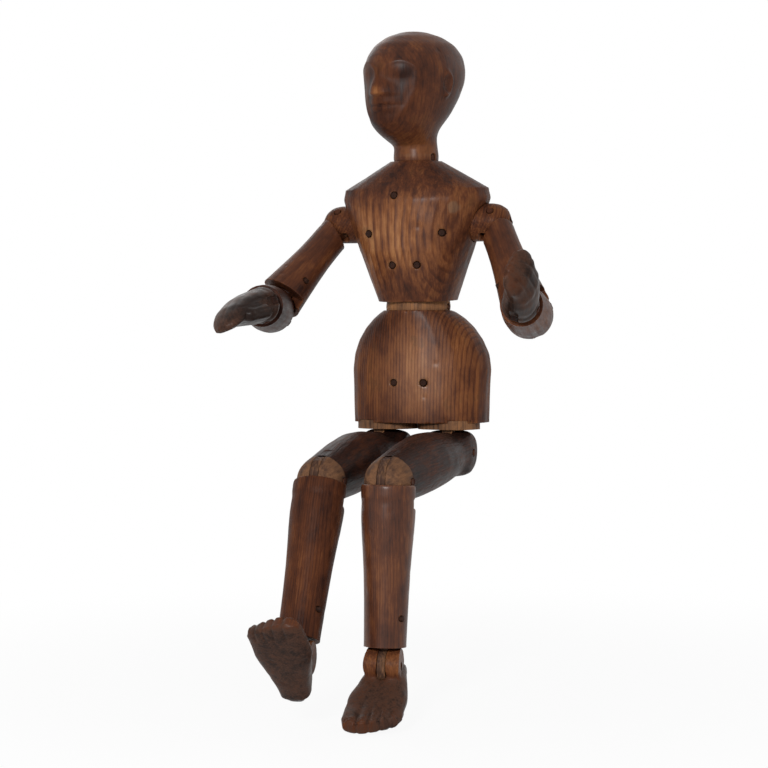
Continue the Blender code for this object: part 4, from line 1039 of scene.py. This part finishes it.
class TurnDowels(bpy.types.Operator):
    """Turns every hinge pin and locking peg"""

    bl_idname = "lay_figure.dowels"
    bl_label = "Turn dowels"

    def execute(self, context):
        tree = self.tree()
        for name in DOWELS:
            self.dowel(name, tree)
        return {"FINISHED"}

    def tree(self):
        """A dowel from one end to the other, with its ends eased and its sides a little uneven."""
        tree = bpy.data.node_groups.new("dowel", "GeometryNodeTree")
        sockets = (("Start", "NodeSocketVector"), ("End", "NodeSocketVector"), ("Radius", "NodeSocketFloat"),
                   ("Ease", "NodeSocketFloat"), ("Seed", "NodeSocketInt"), ("Wood", "NodeSocketMaterial"))
        for name, kind in sockets:
            tree.interface.new_socket(name, in_out="INPUT", socket_type=kind)
        tree.interface.new_socket("Dowel", in_out="OUTPUT", socket_type="NodeSocketGeometry")

        made = Nodes(tree)
        given = made.outputs("NodeGroupInput")
        line = made.node("GeometryNodeCurvePrimitiveLine", {}, Start=given["Start"], End=given["End"])
        fine = made.node("GeometryNodeResampleCurve", {}, Curve=line, Count=28)
        ends = made.node("ShaderNodeFloatCurve", {}, Value=made.node("GeometryNodeSplineParameter", {}))
        self.ease_ends(ends.socket.node.mapping)
        ring = made.node("GeometryNodeCurvePrimitiveCircle", {}, Resolution=26, Radius=1.0)
        caps = {"Profile Curve": ring, "Fill Caps": True}
        rod = made.node("GeometryNodeCurveToMesh", {}, Curve=fine, Scale=ends * given["Radius"], **caps)
        spread = made.node("FunctionNodeRandomValue", {"data_type": "FLOAT_VECTOR"}, (-1, -1, -1), Seed=given["Seed"])
        uneven = made.node("ShaderNodeVectorMath", {"operation": "SCALE"}, spread, Scale=given["Ease"])
        moved = made.node("GeometryNodeSetPosition", {}, Geometry=rod, Offset=uneven)
        real = made.node("GeometryNodeRealizeInstances", {}, Geometry=moved)
        dressed = made.node("GeometryNodeSetMaterial", {}, Geometry=real, Material=given["Wood"])
        made.link(tree.nodes.new("NodeGroupOutput").inputs["Dowel"], dressed)
        return tree

    def ease_ends(self, mapping):
        """Draws the curve of a dowel's girth along its length."""
        points = mapping.curves[0].points
        for place, girth in DOWEL_GIRTH[1:-1]:
            points.new(place, girth)
        points[0].location = DOWEL_GIRTH[0]
        points[-1].location = DOWEL_GIRTH[-1]
        mapping.update()

    def dowel(self, name, tree):
        start, end, radius = DOWELS[name]
        longer = shape().proud * (1.4 if "_pin" in name else 1.0)
        if name.startswith(EVEN_PEGS):
            longer = 0.0
        along = longer * (end - start) / np.linalg.norm(end - start)
        item = placed("turned_" + name, bpy.data.meshes.new("turned_" + name))
        modifier = item.modifiers.new("dowel", "NODES")
        modifier.node_group = tree
        values = {"Start": start - along, "End": end + along, "Radius": radius, "Ease": DOWEL_UNEVEN,
                  "Seed": len(name), "Wood": finish_of("peg_wood")}
        for socket in tree.interface.items_tree:
            if socket.in_out == "INPUT":
                value = values[socket.name]
                modifier[socket.identifier] = value.tolist() if isinstance(value, np.ndarray) else value
        mesh = evaluated_mesh(item)
        item.modifiers.clear()
        item.data = mesh
        worn = mesh.attributes.new("worn", "FLOAT", "POINT")
        worn.data.foreach_set("value", np.full(len(mesh.vertices), float("_pin" in name), np.float32))
        mesh.shade_smooth()
        mesh.set_sharp_from_angle(angle=radians(40))
        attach(item, frame["nodes"][name]["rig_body"])
        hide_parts(name)


SENSOR = 36
FLOOR_HALF = 30
FLOOR_GAP = 0.001


def aimed(item, place, target):
    """Puts a camera or lamp at a place and turns it to a target."""
    item.location = place
    item.rotation_euler = (target - place).to_track_quat("-Z", "Y").to_euler()


class SetStage(bpy.types.Operator):
    """Sets the floor, the light and the camera"""

    bl_idname = "lay_figure.stage"
    bl_label = "Set stage"

    def execute(self, context):
        self.camera(context.scene)
        self.floor()
        self.light(context.scene)
        context.scene.view_settings.view_transform = "Standard"
        return {"FINISHED"}

    def camera(self, scene):
        s = stage()
        right = Vector((cos(s.azimuth), sin(s.azimuth), 0))
        back = Vector((sin(s.azimuth) * cos(s.elevation), -cos(s.azimuth) * cos(s.elevation), sin(s.elevation)))
        up = back.cross(right)
        target = Vector(s.target)
        data = bpy.data.cameras.new("camera")
        data.sensor_width = SENSOR
        data.lens = SENSOR * s.focal
        item = placed("camera", data)
        aimed(item, target + s.distance * back, target + s.aim[0] * right + s.aim[1] * up)
        scene.camera = item
        self.eye, self.right = item.location.copy(), right

    def floor(self):
        low = Matrix.Translation((0, 0, CAD_BOX[0].z - FLOOR_GAP))
        bm = bmesh.new()
        bmesh.ops.create_grid(bm, x_segments=1, y_segments=1, size=FLOOR_HALF, matrix=low)
        mesh = bpy.data.meshes.new("floor")
        bm.to_mesh(mesh)
        bm.free()
        item = placed("floor", mesh)
        made = Finish("pale_floor")
        made.set("Base Color", tint(stage().floor_colour))
        made.set("Roughness", 0.9)
        place = made.node("ShaderNodeTexCoord", {}, out="Object")
        glow = made.node("ShaderNodeEmission", {}, Color=WHITE, Strength=1.0)
        away = made.node("ShaderNodeVectorMath", {"operation": "LENGTH"}, place, out="Value")
        share = 0.92 + 0.08 * made.smooth(away, 0.20, 0.70)
        lit = Wire(made, made.shader.outputs[0])
        both = made.node("ShaderNodeMixShader", {}, made.sees_background() * share, lit, glow)
        made.link(made.tree.nodes["Material Output"].inputs["Surface"], both)
        mesh.materials.append(made.material)

    def lamp(self, name, place, target, size, power):
        data = bpy.data.lights.new(name, "AREA")
        data.shape = "DISK"
        data.size = size
        data.energy = power
        aimed(placed(name, data), place, target)

    def light(self, scene):
        s = stage()
        middle = Vector((0, -0.05, 0.04))
        beside = self.eye - 0.36 * self.right + Vector((0, 0, 0.40))
        self.lamp("flash", beside, middle, 0.30, s.flash)
        self.lamp("back_left", Vector((-1.2, 1.6, 1.3)), middle, 1.2, 0.35 * s.flash)
        self.lamp("back_right", Vector((1.6, 1.3, 1.0)), middle, 1.2, 0.25 * s.flash)
        world = bpy.data.worlds.new("room")
        scene.world = world
        world.use_nodes = True
        made = Nodes(world.node_tree)
        made.tree.nodes.remove(made.tree.nodes["Background"])
        plain = made.node("ShaderNodeBackground", {}, Color=WHITE, Strength=s.room)
        white = made.node("ShaderNodeBackground", {}, Color=WHITE, Strength=1.0)
        both = made.node("ShaderNodeMixShader", {}, made.sees_background(), plain, white)
        made.link(made.tree.nodes["World Output"].inputs["Surface"], both)


class LayFigurePanel(bpy.types.Panel):
    """Lists the figure's sizes, colours and steps"""

    bl_idname = "VIEW3D_PT_lay_figure"
    bl_label = "Lay Figure"
    bl_space_type = "VIEW_3D"
    bl_region_type = "UI"
    bl_category = "Lay Figure"

    def draw(self, context):
        layout = self.layout
        for group in (wood(), shape(), stage()):
            box = layout.box()
            for name in group.__annotations__:
                box.prop(group, name)
        for step_class in STEPS:
            layout.operator(step_class.bl_idname)


STEPS = (CarveTrunk, CarveHead, TurnArms, CarveHands, TurnLegs, CarveFeet, CarveJoints, TurnDowels, SetStage)
GROUPS = {"lay_figure_wood": LayFigureWood, "lay_figure_shape": LayFigureShape, "lay_figure_stage": LayFigureStage}


def register():
    for group in (*GROUPS.values(), *STEPS, LayFigurePanel):
        bpy.utils.register_class(group)
    for name, group in GROUPS.items():
        setattr(bpy.types.Scene, name, PointerProperty(type=group))


def unregister():
    for name in GROUPS:
        delattr(bpy.types.Scene, name)
    for group in (LayFigurePanel, *reversed(STEPS), *GROUPS.values()):
        bpy.utils.unregister_class(group)


def main():
    register()
    for step_class in STEPS:
        family, name = step_class.bl_idname.split(".")
        getattr(getattr(bpy.ops, family), name)()


if __name__ == "__main__":
    main()
